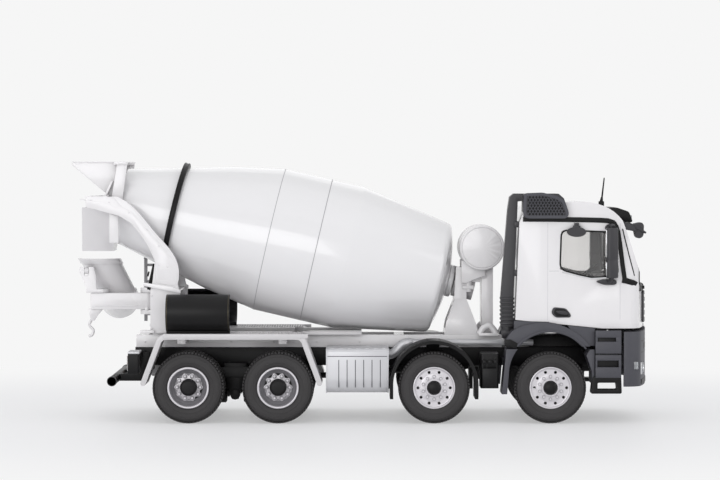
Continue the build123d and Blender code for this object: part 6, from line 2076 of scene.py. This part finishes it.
    def chute(self) -> None:
        """Make the jack with its crank, and dress the chute's arm with pivot caps and raised lines."""
        jack = Form()
        jack.prism([(-84.1, 33.4), (-79.6, 33.4), (-81.6, 31.0), (-82.4, 29.6), (-83.5, 29.6)], -0.9, 0.9)
        crank = [(-82.9, 30.8), (-84.0, 28.3), (-82.8, 26.7), (-83.2, 25.2), (-84.2, 24.8)]
        jack.pipe([(x, 0, z) for x, z in crank], 0.45, 14)
        jack.lay("crank", "chute_swing_arm", WHITE, bevel=0.08, nodes=("crank_jack",))
        form = Form()
        form.lathe([(38.3, 0), (38.3, 1.9), (38.75, 1.8), (38.8, 0)], (self.slew_x, 0, 0), (0, 0, 1), 28,
                   closed=False)
        for s in (-1, 1):
            line = dense([(-82.6, 34.3), (-68.8, 34.3)], 3)
            band(form, [(x, s * 2.1, z) for x, z in line], (0, s, 0), 0.35, 0.12, 0.2)
            form.rod((self.slew_x, s * 1.6, 33.4), (self.slew_x, s * 2.35, 33.4), 0.6, 16)
        form.lay("arm_trim", "chute_swing_arm", WHITE, bevel=0.06)


# What carries each CAD node that only needs rounded edges and a finish, and the width of those edges
PLAIN_NODES: dict[str, tuple[str, Finish, float]] = {
    "frame_rails": ("chassis", CHASSIS, 0.1),
    "mixer_subframe": ("chassis", WHITE, 0.14),
    "leaf_springs": ("chassis", CHASSIS, 0.08),
    "front_axle_beams": ("chassis", CHASSIS, 0.15),
    "rear_axle_housings": ("chassis", CHASSIS, 0.15),
    "engine_block": ("chassis", CHASSIS, 0.3),
    "rear_underrun_guard": ("chassis", BLACK, 0.12),
    "tail_lamps": ("chassis", BLACK, 0.2),
    "exhaust_pipe": ("chassis", SILVER, 0.1),
    "fuel_tank": ("chassis", SILVER, 0.3),
    "battery_valve_units": ("chassis", BLACK, 0.15),
    "second_axle_fenders": ("chassis", BLACK, 0.15),
    "rear_fenders": ("chassis", PALE, 0.12),
    "cab_fender_lower": ("chassis", SLATE, 0.15),
    "front_drum_stand": ("chassis", WHITE, 0.15),
    "drum_gearbox": ("chassis", PALE, 0.15),
    "rear_drum_stand": ("chassis", WHITE, 0.2),
    "drum_rollers": ("chassis", CHASSIS, 0.1),
    "charging_hopper": ("chassis", WHITE, 0.12),
    "discharge_funnel": ("chassis", WHITE, 0.12),
    "ladder": ("chassis", GREY, 0.1),
    "spare_chutes": ("chassis", BLACK, 0.12),
    "chute_arm": ("chute_swing_arm", WHITE, 0.15),
    "chute_post": ("chute_fork", WHITE, 0.12),
    "discharge_chute": ("chute", WHITE, 0.12),
    "cab_glazing": ("cab", GLASS, 0.0),
    "cab_interior": ("cab", SEAT, 0.3),
    "cab_fender_upper": ("cab", SLATE, 0.15),
    "tie_rod_1": ("tie_rod_1", CHASSIS, 0.06),
    "tie_rod_2": ("tie_rod_2", CHASSIS, 0.06),
    "knuckle_1_right": ("knuckle_1_right", CHASSIS, 0.1),
    "knuckle_1_left": ("knuckle_1_left", CHASSIS, 0.1),
    "knuckle_2_right": ("knuckle_2_right", CHASSIS, 0.1),
    "knuckle_2_left": ("knuckle_2_left", CHASSIS, 0.1),
}


def main() -> None:
    """Load the frame, build the studio and dress every part."""
    logging.basicConfig(level=logging.INFO, format="%(message)s")
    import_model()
    Studio().build()
    for maker in (Wheels(), Drum(), Cab(), Chassis(), Superstructure()):
        maker.build()
    for node, (body, finish, bevel) in PLAIN_NODES.items():
        softened(node, body, (finish,), bevel)


if __name__ == "__main__":
    main()
